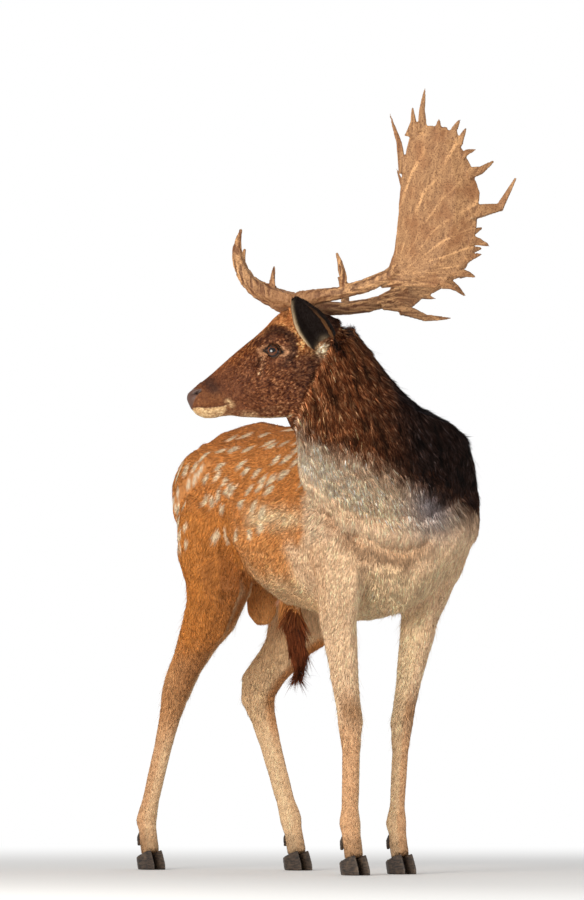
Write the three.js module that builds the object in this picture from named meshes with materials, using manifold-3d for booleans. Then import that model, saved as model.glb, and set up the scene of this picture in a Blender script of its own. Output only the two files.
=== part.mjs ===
// A fallow deer buck, standing square on the floor with the head turned back over the right shoulder.
// Millimetres, +Z up. The animal faces -Y and its left side is +X; the root group then moves the whole
// model so that the middle of its box, at the floor, is the origin.
import * as THREE from 'three';
import { mergeVertices } from 'three/addons/utils/BufferGeometryUtils.js';
import Module from 'manifold-3d';

const wasm = await Module();
wasm.setup();

// ---- driving dimensions -------------------------------------------------------------------------

const GAP = 0.3;
// WIDE and DEEP are larger than any piece that a cutting slab has to take in.
const WIDE = 1800;
const DEEP = 900;
const LEFT = 1;
const RIGHT = -1;

// Trunk: stations from the breast to the buttocks.
// along: place on Y; back, belly: heights; girth: half width; off: shift to the left;
// wide: height of the widest place as a share of the depth; spine, keel: how far each edge narrows.
const TRUNK_KEYS = ['along', 'back', 'belly', 'girth', 'off', 'wide', 'spine', 'keel'];
const TRUNK_STATIONS = [
  [-178, 735, 640, 38, 4, 0.50, 0.10, 0.20],
  [-158, 800, 578, 102, 8, 0.50, 0.15, 0.30],
  [-110, 862, 530, 156, 14, 0.50, 0.25, 0.35],
  [-40, 893, 502, 168, 10, 0.48, 0.38, 0.38],
  [50, 905, 490, 163, 2, 0.46, 0.42, 0.34],
  [160, 896, 492, 166, 0, 0.45, 0.36, 0.28],
  [280, 888, 515, 168, 0, 0.45, 0.30, 0.25],
  [390, 892, 552, 160, 0, 0.48, 0.28, 0.28],
  [490, 905, 585, 150, 0, 0.52, 0.30, 0.30],
  [580, 898, 600, 144, 0, 0.55, 0.30, 0.30],
  [650, 868, 612, 125, 0, 0.55, 0.25, 0.30],
  [696, 816, 650, 85, 0, 0.50, 0.20, 0.20],
  [714, 765, 700, 38, 0, 0.50, 0.10, 0.10],
];
const TRUNK_SIDES = 14;
const TRUNK_STEPS = 1;

// Neck: stations from inside the shoulders to the back of the skull.
// place: x, y, z; turn: degrees that the neck has turned to the right; girth: half width;
// nape, throat: reach of the upper and lower edge.
const NECK_KEYS = ['x', 'y', 'z', 'turn', 'girth', 'nape', 'throat'];
const NECK_STATIONS = [
  [5, 60, 735, 0, 130, 140, 150],
  [-3, -28, 778, 14, 168, 112, 165],
  [-37, -83, 824, 34, 173, 82, 170],
  [-92, -123, 876, 58, 152, 74, 162],
  [-142, -159, 928, 80, 107, 78, 154],
  [-178, -178, 985, 100, 80, 68, 146],
  [-204, -186, 1036, 112, 60, 48, 112],
];
const NECK_SIDES = 14;
const NECK_CREST = 0.42;
const NECK_STEPS = 2;

// Head carriage: the point midway between the eyes and the three angles in degrees.
const HEAD_PLACE = [-303, -140, 996];
const HEAD_TURN = 115;
const HEAD_NOD = 25;
const HEAD_ROLL = 11;

// Head: stations from the nose to the back of the skull, in the head's own frame.
// ahead: distance in front of the eyes; crown, jaw: heights of the upper and lower edge;
// cheek: half width; wide: height of the widest place; box: squareness; crest, chin: narrowing.
const HEAD_KEYS = ['ahead', 'crown', 'jaw', 'cheek', 'wide', 'box', 'crest', 'chin'];
const HEAD_STATIONS = [
  [189, -4, -24, 9, 0.5, 2.2, 0.0, 0.1],
  [184, 4, -38, 18, 0.55, 2.3, 0.1, 0.2],
  [172, 9, -53, 24, 0.55, 2.4, 0.15, 0.3],
  [150, 15, -60, 26, 0.5, 2.3, 0.3, 0.35],
  [122, 23, -75, 28, 0.45, 2.3, 0.35, 0.4],
  [90, 33, -93, 34, 0.5, 2.3, 0.35, 0.5],
  [55, 43, -111, 44, 0.55, 2.3, 0.3, 0.6],
  [20, 52, -125, 53, 0.66, 2.3, 0.3, 0.55],
  [-10, 62, -130, 56, 0.68, 2.3, 0.35, 0.5],
  [-45, 75, -126, 54, 0.62, 2.3, 0.45, 0.4],
  [-80, 70, -114, 52, 0.55, 2.2, 0.5, 0.3],
  [-112, 46, -98, 47, 0.5, 2.2, 0.45, 0.25],
  [-140, 16, -78, 34, 0.5, 2.1, 0.35, 0.2],
];
const HEAD_SIDES = 12;
const HEAD_STEPS = 2;

// Eyes.
const EYE_RADIUS = 17;
const EYE_PLACE = { ahead: 0, out: 40, up: 0 };
const EYE_RINGS = 5;
const EYE_SIDES = 8;

// Ears, in the head's frame: stations from the root to the tip.
// reach: distance along the ear; half: half width; cup: depth of the hollow; thick: wall.
const EAR_KEYS = ['reach', 'half', 'cup', 'thick'];
const EAR_STATIONS = [
  [-22, 19, 14, 22],
  [6, 24, 22, 20],
  [30, 32, 26, 12],
  [58, 34, 22, 8],
  [84, 29, 16, 6],
  [108, 19, 9, 5],
  [126, 7, 3, 4],
];
const EAR_ROOT = { ahead: -98, out: 44, up: -34 };
const EAR_AIM = { ahead: 0.2, out: 0.62, up: 0.72 };
const EAR_FACE = { ahead: 0.34, out: 0.78, up: -0.5 };
const EAR_SIDES = 8;
const EAR_INSIDE = 0.86;
// Where an ear is parted from its root, and a box that holds all beyond it.
const EAR_CUT = 14;
const EAR_BOX = { across: 130, rise: 130, deep: 200 };

// Antlers, in a frame at the burr whose axes are back, out and up when the head is carried as posed.
const BURR_PLACE = { ahead: -80, out: 37, up: 62 };
const BURR_KEYS = ['back', 'out', 'up', 'radius'];
const PEDICLE = [
  [10, -22, -44, 24],
  [4, -8, -18, 22],
  [0, 0, 4, 21],
];
const BEAM = [
  [0, 0, -4, 19],
  [2, 1, 3, 25],
  [6, 2, 10, 19],
  [28, 8, 15, 15],
  [78, 26, 18, 12],
  [130, 46, 28, 13.5],
  [176, 58, 44, 13],
  [205, 64, 66, 9],
];
const BROW_TINE = {
  [LEFT]: [
    [12, 2, 6, 14], [-22, 3, 12, 16], [-62, 8, 23, 18], [-96, 16, 46, 14.5], [-113, 22, 80, 11.5],
    [-117, 26, 108, 8], [-110, 30, 143, 2],
  ],
  [RIGHT]: [
    [12, 2, 6, 14], [-22, 3, 16, 14], [-60, 8, 34, 13], [-92, 14, 56, 11], [-108, 20, 84, 8],
    [-112, 25, 110, 6], [-107, 28, 137, 2],
  ],
};
const BROW_SNAG = {
  [LEFT]: [[-52, 8, 28, 11], [-50, 9, 50, 6], [-47, 10, 76, 1.5]],
  [RIGHT]: [[-50, 8, 32, 8], [-49, 9, 46, 5], [-47, 10, 60, 1.5]],
};
const TREZ_TINE = [
  [88, 28, 18, 9],
  [86, 42, 46, 7],
  [80, 54, 72, 5],
  [74, 62, 88, 1.8],
];
const TINE_SIDES = 6;
const BEAM_SIDES = 8;
const SPIKE_SIDES = 4;
// BURR_SEAT is wider than a burr; the antler sits in the skull's pedicle one mm below the burr's middle.
const BURR_SEAT = 56;
const BURR_DROP = 1;

// Cuts that part an antler, in the same frame: the brow tine from the beam, the trez tine with
// its lean outwards, and the palm.
const BROW_CUT = { back: -21, out: 0, up: 70, wide: 200, deep: 160 };
const TREZ_CUT = { back: 87, out: 34, up: 31, lean: 0.55, wide: 90, deep: 90 };
const PALM_CUT = { back: 152, out: 50, up: 36 };

// Palm: pairs of edge points, front then rear, each back and up from the burr.
const PALM_KEYS = ['frontBack', 'frontUp', 'rearBack', 'rearUp', 'thick'];
const PALM = {
  [LEFT]: [
    [150, 47, 160, 24, 11],
    [172, 62, 215, 20, 10],
    [182, 92, 264, 12, 8],
    [185, 124, 308, 38, 6.5],
    [188, 160, 340, 78, 6],
    [191, 198, 348, 132, 6],
    [195, 232, 353, 184, 6],
    [203, 262, 336, 234, 5.5],
    [212, 290, 314, 272, 5],
    [232, 309, 288, 303, 4],
  ],
  [RIGHT]: [
    [150, 47, 160, 18, 11],
    [172, 62, 205, 14, 10],
    [182, 92, 234, 46, 8],
    [188, 124, 290, 80, 6.5],
    [192, 160, 324, 116, 6],
    [195, 198, 339, 150, 6],
    [198, 232, 342, 190, 6],
    [203, 262, 332, 236, 5.5],
    [212, 290, 312, 270, 5],
    [232, 309, 286, 301, 4],
  ],
};
// The blade leans out as it rises and flares to the rear; dish hollows it towards a middle line.
const PALM_SET = { out: 66, level: 40, lean: 0.34, from: 180, flare: 0.12 };
const PALM_DISH = { depth: 16, middle: 262, front: 60, rear: 90, most: 1 };
const PALM_SIDES = 8;

// Spikes round a palm: root back, root up, tip back, tip up, root radius, bow. The two shares are
// of a spike's length and of its root radius.
const SPIKE_SHARES = [0, 0.5, 1];
const SPIKE_TAPER = [1, 0.52, 0.12];
const SPIKE_FLAT = 0.62;
const SPIKES = {
  [LEFT]: [
    [203, 228, 178, 338, 12, -5],
    [217, 292, 222, 343, 14, -4],
    [240, 298, 246, 376, 13, 3],
    [270, 300, 272, 320, 9, 0],
    [296, 280, 311, 317, 15, 3],
    [308, 274, 324, 304, 11, 0],
    [314, 252, 341, 264, 11, 2],
    [324, 220, 375, 245, 17, -5],
    [328, 150, 417, 213, 20, -24],
    [328, 100, 365, 92, 15, 2],
    [320, 68, 350, 76, 14, 0],
    [298, 40, 339, 34, 13, 3],
    [276, 22, 304, 11, 12, 0],
  ],
  [RIGHT]: [
    [206, 228, 186, 326, 12, -5],
    [217, 292, 218, 338, 14, -4],
    [240, 298, 250, 366, 13, 3],
    [270, 298, 288, 320, 11, 0],
    [300, 278, 318, 308, 14, 3],
    [314, 248, 345, 256, 12, 2],
    [322, 198, 350, 202, 16, -4],
    [324, 152, 350, 158, 14, 2],
    [308, 106, 337, 97, 13, 2],
    [284, 86, 318, 56, 13, 2],
    [230, 58, 260, 50, 11, 0],
    [196, 22, 290, 8, 15, -7],
  ],
};

// Legs: joint places and the sizes of each stretch.
const FORE_JOINTS = {
  [LEFT]: [[82, 44, 805], [129, -32, 660], [99, 20, 492], [78, 50, 298], [71, 60, 100], [70, 44, 42]],
  [RIGHT]: [
    [-70, 40, 805], [-112, -40, 660], [-97, -8, 492], [-76, -27, 298], [-70, -8, 100], [-70, -24, 42],
  ],
};
const HIND_JOINTS = {
  [LEFT]: [[74, 560, 785], [104, 500, 700], [112, 412, 569], [66, 648, 366], [94, 545, 100], [96, 523, 42]],
  [RIGHT]: [
    [-74, 565, 785], [-104, 515, 700], [-112, 452, 575], [-102, 668, 368], [-125, 757, 100], [-127, 737, 42],
  ],
};
// How far each leg's sections face outwards, in degrees.
const FORE_TURN = { [LEFT]: 0, [RIGHT]: 0 };
const HIND_TURN = { [LEFT]: 20, [RIGHT]: 8 };
// Each row: joint number and share of the way to the next; half width; reach back; reach forward.
const LEG_KEYS = ['at', 'side', 'rear', 'front'];
const FORE_SECTIONS = [
  [0.0, 22, 36, 36],
  [0.5, 46, 86, 92],
  [1.0, 50, 98, 98],
  [1.5, 43, 66, 82],
  [2.0, 37, 43, 54],
  [2.3, 33, 38, 42],
  [2.65, 27, 30, 32],
  [2.9, 25.5, 27, 28],
  [3.0, 27, 29, 28],
  [3.12, 23, 26, 26],
  [3.3, 17, 19, 21],
  [3.85, 16, 18, 20],
  [4.0, 21, 21, 26],
  [4.35, 18.5, 18, 21],
  [5.3, 18.5, 21, 20],
];
const HIND_SECTIONS = [
  [0.0, 36, 52, 52],
  [0.6, 60, 118, 94],
  [1.1, 64, 138, 104],
  [1.6, 60, 128, 112],
  [2.0, 54, 92, 114],
  [2.2, 48, 74, 90],
  [2.45, 38, 54, 62],
  [2.75, 28, 42, 46],
  [2.97, 25, 42, 50],
  [3.06, 24.5, 39, 45],
  [3.2, 20, 28, 34],
  [3.45, 17, 22, 26],
  [3.85, 16.5, 19.5, 21.5],
  [4.0, 21, 22, 26],
  [4.35, 18.5, 18, 21],
  [5.3, 18.5, 21, 20],
];
const LEG_SIDES = 10;
// The back of the thigh, from the pin bone to the gaskin, on each side.
const HAM = {
  [LEFT]: [
    [84, 600, 790, 60], [94, 556, 700, 82], [92, 520, 610, 78], [84, 522, 530, 56], [74, 560, 460, 38],
  ],
  [RIGHT]: [
    [-84, 600, 790, 60], [-98, 556, 700, 80], [-100, 528, 610, 76], [-98, 546, 530, 56], [-96, 582, 460, 36],
  ],
};
const HAM_FLAT = 0.62;
const HAM_SIDES = 8;
// Where a leg is parted below its knee or hock, and a box that holds all below it.
const KNEE_SPLIT = 3.18;
const HOCK_SPLIT = 3.22;
const SHANK_BOX = { across: 200, rise: 200, deep: 420 };

// Hooves: two claws and two dew claws to a foot.
const CLAW = { toe: 46, heel: 20, half: 11.5, high: 40, apart: 12.4, tilt: 0.34, crown: 31, taper: 0.35 };
// Levels of a claw: share of its height, scale of its outline, and shift to the rear in mm.
const CLAW_LEVELS = [
  [0, 1, 0],
  [0.3, 1.02, 3],
  [0.75, 0.96, 10],
  [1.25, 0.86, 18.6],
];
const CLAW_SIDES = 8;
const CROWN_WIDE = 200;
const DEW = { apart: 10, radius: 7.5 };
// Rows of a dew claw: distance behind the coronet, height, share of its radius.
const DEW_ROWS = [
  [16, 74, 1],
  [26, 64, 0.9],
  [30, 48, 0.45],
];
const DEW_SIDES = 5;

// Tail, scrotum and sheath.
const TUBE_KEYS = ['x', 'y', 'z', 'radius'];
const TAIL = [
  [0, 640, 838, 22],
  [0, 694, 822, 26],
  [0, 722, 778, 27],
  [-2, 738, 715, 27],
  [-4, 742, 650, 21],
  [-5, 742, 600, 9],
];
const TAIL_FLAT = 0.62;
const TAIL_SIDES = 8;
const SCROTUM = [
  [-4, 480, 600, 26],
  [-4, 484, 558, 32],
  [-4, 482, 518, 30],
  [-4, 478, 495, 15],
];
const SHEATH = [
  [0, 378, 560, 24],
  [0, 352, 516, 27],
  [0, 336, 478, 26],
  [0, 332, 438, 20],
  [0, 338, 400, 8],
];
const SHEATH_FLAT = 0.8;
const SOFT_SIDES = 8;

// Cuts that part the flesh. Each is a plane: a point on it and the direction of the piece cut off.
const FORE_CUT = { x: 50, z: 520, tilt: 50, front: -260, rear: 118 };
const HIND_CUT = { x: 40, z: 590, tilt: 48, front: 335, rear: 800 };
const NECK_CUT = { place: [10, -92, 765], aim: [0, -0.74, 0.67] };
// MIDLINE_GAP keeps a leg's cut on its own side.
const MIDLINE_GAP = 2;
const SKULL_CUT = { ahead: -62, up: -62, aimAhead: 0.62, aimUp: 0.78 };

// Finishes.
const FINISH = {
  coat: { color: 0xb9783f, roughness: 0.9, metalness: 0 },
  head: { color: 0x7d5231, roughness: 0.88, metalness: 0 },
  neck: { color: 0x8a6b50, roughness: 0.92, metalness: 0 },
  legs: { color: 0xcfae86, roughness: 0.9, metalness: 0 },
  ear: { color: 0x5b4a3d, roughness: 0.9, metalness: 0 },
  tail: { color: 0x2c2420, roughness: 0.9, metalness: 0 },
  belly: { color: 0xd9c39a, roughness: 0.92, metalness: 0 },
  antler: { color: 0xa5794f, roughness: 0.62, metalness: 0 },
  hoof: { color: 0x2a231e, roughness: 0.5, metalness: 0 },
  eye: { color: 0x1c0f08, roughness: 0.08, metalness: 0 },
};

// ---- small helpers ------------------------------------------------------------------------------

const vec = (x, y, z) => new THREE.Vector3(x, y, z);
const lerp = THREE.MathUtils.lerp;
const radians = THREE.MathUtils.degToRad;

// named: turns one row of a table into an object with the given keys.
function named(keys, row) {
  return Object.fromEntries(keys.map((key, i) => [key, row[i]]));
}

// spline: one value of a uniform Catmull-Rom curve through four numbers.
function spline(a, b, c, d, t) {
  const slopeB = (c - a) / 2;
  const slopeC = (d - b) / 2;
  const t2 = t * t;
  const t3 = t2 * t;
  const held = (2 * t3 - 3 * t2 + 1) * b + (3 * t2 - 2 * t3) * c;
  return held + (t3 - 2 * t2 + t) * slopeB + (t3 - t2) * slopeC;
}

// refine: puts extra rows between the rows of a table, on smooth curves through each column.
function refine(rows, steps) {
  const last = rows.length - 1;
  const fine = [];
  for (let i = 0; i < last; i += 1) {
    const around = [Math.max(i - 1, 0), i, i + 1, Math.min(i + 2, last)].map((k) => rows[k]);
    for (let s = 0; s < steps; s += 1) {
      fine.push(rows[0].map((_, k) => spline(...around.map((row) => row[k]), s / steps)));
    }
  }
  fine.push(rows[last]);
  return fine;
}

// ring: a closed outline round a centre. side and rise are its axes, half its reach along side,
// above and below its reach along rise; box is its squareness; narrowTop and narrowFoot draw it in.
function ring({ centre, side, rise, half, above, below, sides, box = 2, narrowTop = 0, narrowFoot = 0 }) {
  const points = [];
  for (let i = 0; i < sides; i += 1) {
    const angle = ((i + 0.5) / sides) * Math.PI * 2;
    const across = Math.sign(Math.cos(angle)) * Math.abs(Math.cos(angle)) ** (2 / box);
    const along = Math.sign(Math.sin(angle)) * Math.abs(Math.sin(angle)) ** (2 / box);
    const narrow = along > 0 ? narrowTop : narrowFoot;
    const width = half * across * (1 - narrow * along * along);
    const height = along * (along > 0 ? above : below);
    points.push(centre.clone().addScaledVector(side, width).addScaledVector(rise, height));
  }
  return points;
}

// loft: one closed body through rings of equal count, with a middle point on each end.
function loft(rings) {
  const sides = rings[0].length;
  const points = rings.flat();
  const faces = [];
  for (let r = 0; r + 1 < rings.length; r += 1) {
    for (let i = 0; i < sides; i += 1) {
      const a = r * sides + i;
      const b = r * sides + ((i + 1) % sides);
      faces.push(a, b, b + sides, a, b + sides, a + sides);
    }
  }
  [[0, rings[0]], [(rings.length - 1) * sides, rings[rings.length - 1]]].forEach(([start, end]) => {
    const hub = points.length;
    points.push(end.reduce((sum, p) => sum.add(p), vec(0, 0, 0)).divideScalar(sides));
    for (let i = 0; i < sides; i += 1) {
      const a = start + i;
      const b = start + ((i + 1) % sides);
      faces.push(...(start === 0 ? [b, a, hub] : [a, b, hub]));
    }
  });
  return facingOut(points, faces);
}

// facingOut: builds the geometry and turns every face over if the body is inside out.
function facingOut(points, faces) {
  let volume = 0;
  for (let i = 0; i < faces.length; i += 3) {
    const [a, b, c] = [points[faces[i]], points[faces[i + 1]], points[faces[i + 2]]];
    volume += a.dot(b.clone().cross(c));
  }
  const index = volume < 0 ? faces.slice().reverse() : faces;
  const geometry = new THREE.BufferGeometry();
  const numbers = points.flatMap((p) => p.toArray());
  geometry.setAttribute('position', new THREE.Float32BufferAttribute(numbers, 3));
  geometry.setIndex(index);
  return geometry;
}

// tube: a tapering round body along a path of centres with a radius each. flat squeezes it sideways.
function tube(centres, radii, sides, sideways = vec(0, 1, 0), flat = 1) {
  const rings = centres.map((centre, i) => {
    const before = centres[Math.max(i - 1, 0)];
    const after = centres[Math.min(i + 1, centres.length - 1)];
    const along = after.clone().sub(before).normalize();
    const side = sideways.clone().addScaledVector(along, -sideways.dot(along)).normalize();
    const rise = along.clone().cross(side);
    return ring({ centre, side, rise, half: radii[i] * flat, above: radii[i], below: radii[i], sides });
  });
  return loft(rings);
}

// solid, surface: to and from the library that joins and cuts.
function solid(geometry) {
  const bare = geometry.clone();
  bare.deleteAttribute('normal');
  bare.deleteAttribute('uv');
  const merged = mergeVertices(bare, 1e-3);
  const mesh = new wasm.Mesh({
    numProp: 3,
    vertProperties: new Float32Array(merged.attributes.position.array),
    triVerts: new Uint32Array(merged.index.array),
  });
  return new wasm.Manifold(mesh);
}

function surface(body) {
  const mesh = body.getMesh();
  const geometry = new THREE.BufferGeometry();
  geometry.setAttribute('position', new THREE.BufferAttribute(new Float32Array(mesh.vertProperties), 3));
  geometry.setIndex(new THREE.BufferAttribute(new Uint32Array(mesh.triVerts), 1));
  return geometry;
}

const joined = (bodies) => bodies.reduce((sum, body) => sum.add(body));

// slab: a box on the far side of a plane. place is on the plane and aim points into the box.
function slab(place, aim, side, size, grow = 0) {
  const out = aim.clone().normalize();
  const across = side.clone().addScaledVector(out, -side.dot(out)).normalize();
  const rise = out.clone().cross(across);
  const box = new THREE.BoxGeometry(size.across + 2 * grow, size.rise + 2 * grow, size.deep + 2 * grow);
  box.translate(0, 0, size.deep / 2);
  const turn = new THREE.Matrix4().makeBasis(across, rise, out).setPosition(place);
  box.applyMatrix4(turn);
  return solid(box);
}

// part: cuts one region from a body. Gives the piece and what is left, with the gap between them.
function part(body, region) {
  return { piece: body.intersect(region(0)), rest: body.subtract(region(GAP)) };
}

function mesh(name, body, finish) {
  const built = new THREE.Mesh(surface(body), new THREE.MeshStandardMaterial(finish));
  built.name = name;
  return built;
}

// ---- frames -------------------------------------------------------------------------------------

// headFrame: columns ahead, left and up of the head, placed between the eyes.
function headFrame() {
  const turn = radians(HEAD_TURN);
  const nod = radians(HEAD_NOD);
  const roll = radians(HEAD_ROLL);
  const level = vec(-Math.sin(turn), -Math.cos(turn), 0);
  const left = vec(Math.cos(turn), -Math.sin(turn), 0);
  const ahead = level.clone().multiplyScalar(Math.cos(nod)).add(vec(0, 0, -Math.sin(nod)));
  const up = ahead.clone().cross(left);
  const leaning = up.clone().multiplyScalar(Math.cos(roll)).addScaledVector(left, -Math.sin(roll));
  const out = left.clone().multiplyScalar(Math.cos(roll)).addScaledVector(up, Math.sin(roll));
  return new THREE.Matrix4().makeBasis(ahead, out, leaning).setPosition(...HEAD_PLACE);
}

const HEAD = headFrame();

// inHead: a point of the head's frame; hand mirrors it to the right side.
function inHead({ ahead, out, up }, hand = LEFT) {
  return vec(ahead, out * hand, up).applyMatrix4(HEAD);
}

function headDirection({ ahead, out, up }, hand = LEFT) {
  return vec(ahead, out * hand, up).transformDirection(HEAD);
}

// inAntler: a point given back, out and up from a burr.
function inAntler(hand, back, out, up) {
  const nod = radians(HEAD_NOD);
  return inHead({
    ahead: BURR_PLACE.ahead - back * Math.cos(nod) - up * Math.sin(nod),
    out: BURR_PLACE.out + out,
    up: BURR_PLACE.up - back * Math.sin(nod) + up * Math.cos(nod),
  }, hand);
}

// antlerAxes: the three directions of that frame.
function antlerAxes(hand) {
  const origin = inAntler(hand, 0, 0, 0);
  return {
    back: inAntler(hand, 1, 0, 0).sub(origin),
    out: inAntler(hand, 0, 1, 0).sub(origin),
    up: inAntler(hand, 0, 0, 1).sub(origin),
  };
}

// ---- flesh --------------------------------------------------------------------------------------

function trunkBody() {
  const rings = refine(TRUNK_STATIONS, TRUNK_STEPS).map((row) => {
    const at = named(TRUNK_KEYS, row);
    const level = lerp(at.belly, at.back, at.wide);
    return ring({
      centre: vec(at.off, at.along, level),
      side: vec(1, 0, 0),
      rise: vec(0, 0, 1),
      half: at.girth,
      above: at.back - level,
      below: level - at.belly,
      sides: TRUNK_SIDES,
      narrowTop: at.spine,
      narrowFoot: at.keel,
    });
  });
  return solid(loft(rings));
}

function neckBody() {
  const rows = refine(NECK_STATIONS, NECK_STEPS).map((row) => named(NECK_KEYS, row));
  const rings = rows.map((at, i) => {
    const before = rows[Math.max(i - 1, 0)];
    const after = rows[Math.min(i + 1, rows.length - 1)];
    const along = vec(after.x - before.x, after.y - before.y, after.z - before.z).normalize();
    const turn = radians(at.turn);
    const left = vec(Math.cos(turn), -Math.sin(turn), 0);
    const side = left.addScaledVector(along, -left.dot(along)).normalize();
    const rise = along.clone().cross(side);
    return ring({
      centre: vec(at.x, at.y, at.z),
      side,
      rise,
      half: at.girth,
      above: at.nape,
      below: at.throat,
      sides: NECK_SIDES,
      narrowTop: NECK_CREST,
    });
  });
  return solid(loft(rings));
}

function headBody() {
  const side = headDirection({ ahead: 0, out: 1, up: 0 });
  const rise = headDirection({ ahead: 0, out: 0, up: 1 });
  const rings = refine(HEAD_STATIONS, HEAD_STEPS).map((row) => {
    const at = named(HEAD_KEYS, row);
    const level = lerp(at.jaw, at.crown, at.wide);
    return ring({
      centre: inHead({ ahead: at.ahead, out: 0, up: level }),
      side,
      rise,
      half: at.cheek,
      above: at.crown - level,
      below: level - at.jaw,
      sides: HEAD_SIDES,
      box: at.box,
      narrowTop: at.crest,
      narrowFoot: at.chin,
    });
  });
  return solid(loft(rings));
}

// legBody: a leg through its joints, its rings square to the bone seen from the side. turn is how far
// the sections face outwards on the side that hand gives.
function legBody(joints, sections, turn, hand) {
  const angle = radians(turn) * hand;
  const left = vec(Math.cos(angle), Math.sin(angle), 0);
  const place = (at) => {
    const last = joints.length - 1;
    const i = Math.min(Math.floor(at), last - 1);
    return vec(...joints[i]).lerp(vec(...joints[i + 1]), at - i);
  };
  const rows = sections.map((row) => named(LEG_KEYS, row));
  const rings = rows.map((at, i) => {
    const before = place(rows[Math.max(i - 1, 0)].at);
    const after = place(rows[Math.min(i + 1, rows.length - 1)].at);
    const down = after.sub(before);
    down.addScaledVector(left, -down.dot(left)).normalize();
    return ring({
      centre: place(at.at),
      side: left,
      rise: left.clone().cross(down),
      half: at.side,
      above: at.rear,
      below: at.front,
      sides: LEG_SIDES,
    });
  });
  return solid(loft(rings));
}

// tubeBody: a soft round body from a table of places and radii. grow widens and lengthens it.
function tubeBody(rows, sides, flat, grow = 0) {
  const at = rows.map((row) => named(TUBE_KEYS, row));
  const centres = at.map((p) => vec(p.x, p.y, p.z));
  const last = centres.length - 1;
  const rootAim = centres[0].clone().sub(centres[1]).normalize();
  const tipAim = centres[last].clone().sub(centres[last - 1]).normalize();
  centres[0].addScaledVector(rootAim, grow);
  centres[last].addScaledVector(tipAim, grow);
  return solid(tube(centres, at.map((p) => p.radius + grow), sides, vec(1, 0, 0), flat));
}

// earBody: a leaf with a hollow face, its root sunk in the skull. grow thickens it all round.
function earBody(hand, grow = 0) {
  const root = inHead(EAR_ROOT, hand);
  const aim = headDirection(EAR_AIM, hand);
  const facing = headDirection(EAR_FACE, hand);
  const face = facing.addScaledVector(aim, -facing.dot(aim)).normalize();
  const side = aim.clone().cross(face);
  const rings = EAR_STATIONS.map((row) => {
    const at = named(EAR_KEYS, row);
    const centre = root.clone().addScaledVector(aim, at.reach);
    const points = [];
    for (let i = 0; i < EAR_SIDES; i += 1) {
      const outer = i < EAR_SIDES / 2;
      const step = outer ? i : EAR_SIDES - 1 - i;
      const swing = (step / (EAR_SIDES / 2 - 1) - 0.5) * 2;
      const width = (outer ? at.half + grow : at.half * EAR_INSIDE) * Math.sin(swing * Math.PI * 0.5);
      const dish = at.cup * (1 - swing * swing);
      const wall = at.thick / 2 + grow;
      const depth = outer ? -dish - wall : -dish + wall;
      points.push(centre.clone().addScaledVector(side, width).addScaledVector(face, depth + at.cup * 0.5));
    }
    return points;
  });
  return solid(loft(rings));
}

function eyeBody(hand, grow = 0) {
  const ball = new THREE.SphereGeometry(EYE_RADIUS + grow, EYE_SIDES, EYE_RINGS);
  const centre = inHead(EYE_PLACE, hand);
  ball.translate(centre.x, centre.y, centre.z);
  return solid(ball);
}

// ---- antlers ------------------------------------------------------------------------------------

function antlerTube(hand, rows, sides, steps = 1) {
  const at = refine(rows, steps).map((row) => named(BURR_KEYS, row));
  const centres = at.map((p) => inAntler(hand, p.back, p.out, p.up));
  const radii = at.map((p) => p.radius);
  return solid(tube(centres, radii, sides, headDirection({ ahead: 0, out: 1, up: 0 }, hand)));
}

// palmOut: how far out the middle of the blade stands at a place on it.
function palmOut(back, up) {
  const reach = back < PALM_DISH.middle ? PALM_DISH.front : PALM_DISH.rear;
  const share = ((back - PALM_DISH.middle) / reach) ** 2 - 0.5;
  const dish = PALM_DISH.depth * Math.min(share, PALM_DISH.most);
  const lean = PALM_SET.lean * (up - PALM_SET.level);
  return PALM_SET.out + lean + PALM_SET.flare * (back - PALM_SET.from) - dish;
}

function palmPoint(hand, back, up, out = 0) {
  return inAntler(hand, back, palmOut(back, up) + out, up);
}

// palmBody: a dished blade between its front and rear edges.
function palmBody(hand) {
  const rings = PALM[hand].map((row) => {
    const at = named(PALM_KEYS, row);
    const points = [];
    for (let i = 0; i < PALM_SIDES; i += 1) {
      const angle = ((i + 0.5) / PALM_SIDES) * Math.PI * 2;
      const share = 0.5 - 0.5 * Math.cos(angle);
      const skin = at.thick * Math.sin(angle);
      const back = lerp(at.frontBack, at.rearBack, share);
      const up = lerp(at.frontUp, at.rearUp, share);
      points.push(palmPoint(hand, back, up, skin));
    }
    return points;
  });
  return solid(loft(rings));
}

// spikeBody: a point that grows from the palm's edge, a little bowed.
function spikeBody(hand, [rootBack, rootUp, tipBack, tipUp, radius, bow]) {
  const long = Math.hypot(tipBack - rootBack, tipUp - rootUp);
  const across = [-(tipUp - rootUp) / long, (tipBack - rootBack) / long];
  const centres = SPIKE_SHARES.map((share) => {
    const swing = bow * 4 * share * (1 - share);
    const back = lerp(rootBack, tipBack, share) + across[0] * swing;
    const up = lerp(rootUp, tipUp, share) + across[1] * swing;
    return palmPoint(hand, back, up);
  });
  const out = headDirection({ ahead: 0, out: 1, up: 0 }, hand);
  return solid(tube(centres, SPIKE_TAPER.map((r) => r * radius), SPIKE_SIDES, out, SPIKE_FLAT));
}

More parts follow.
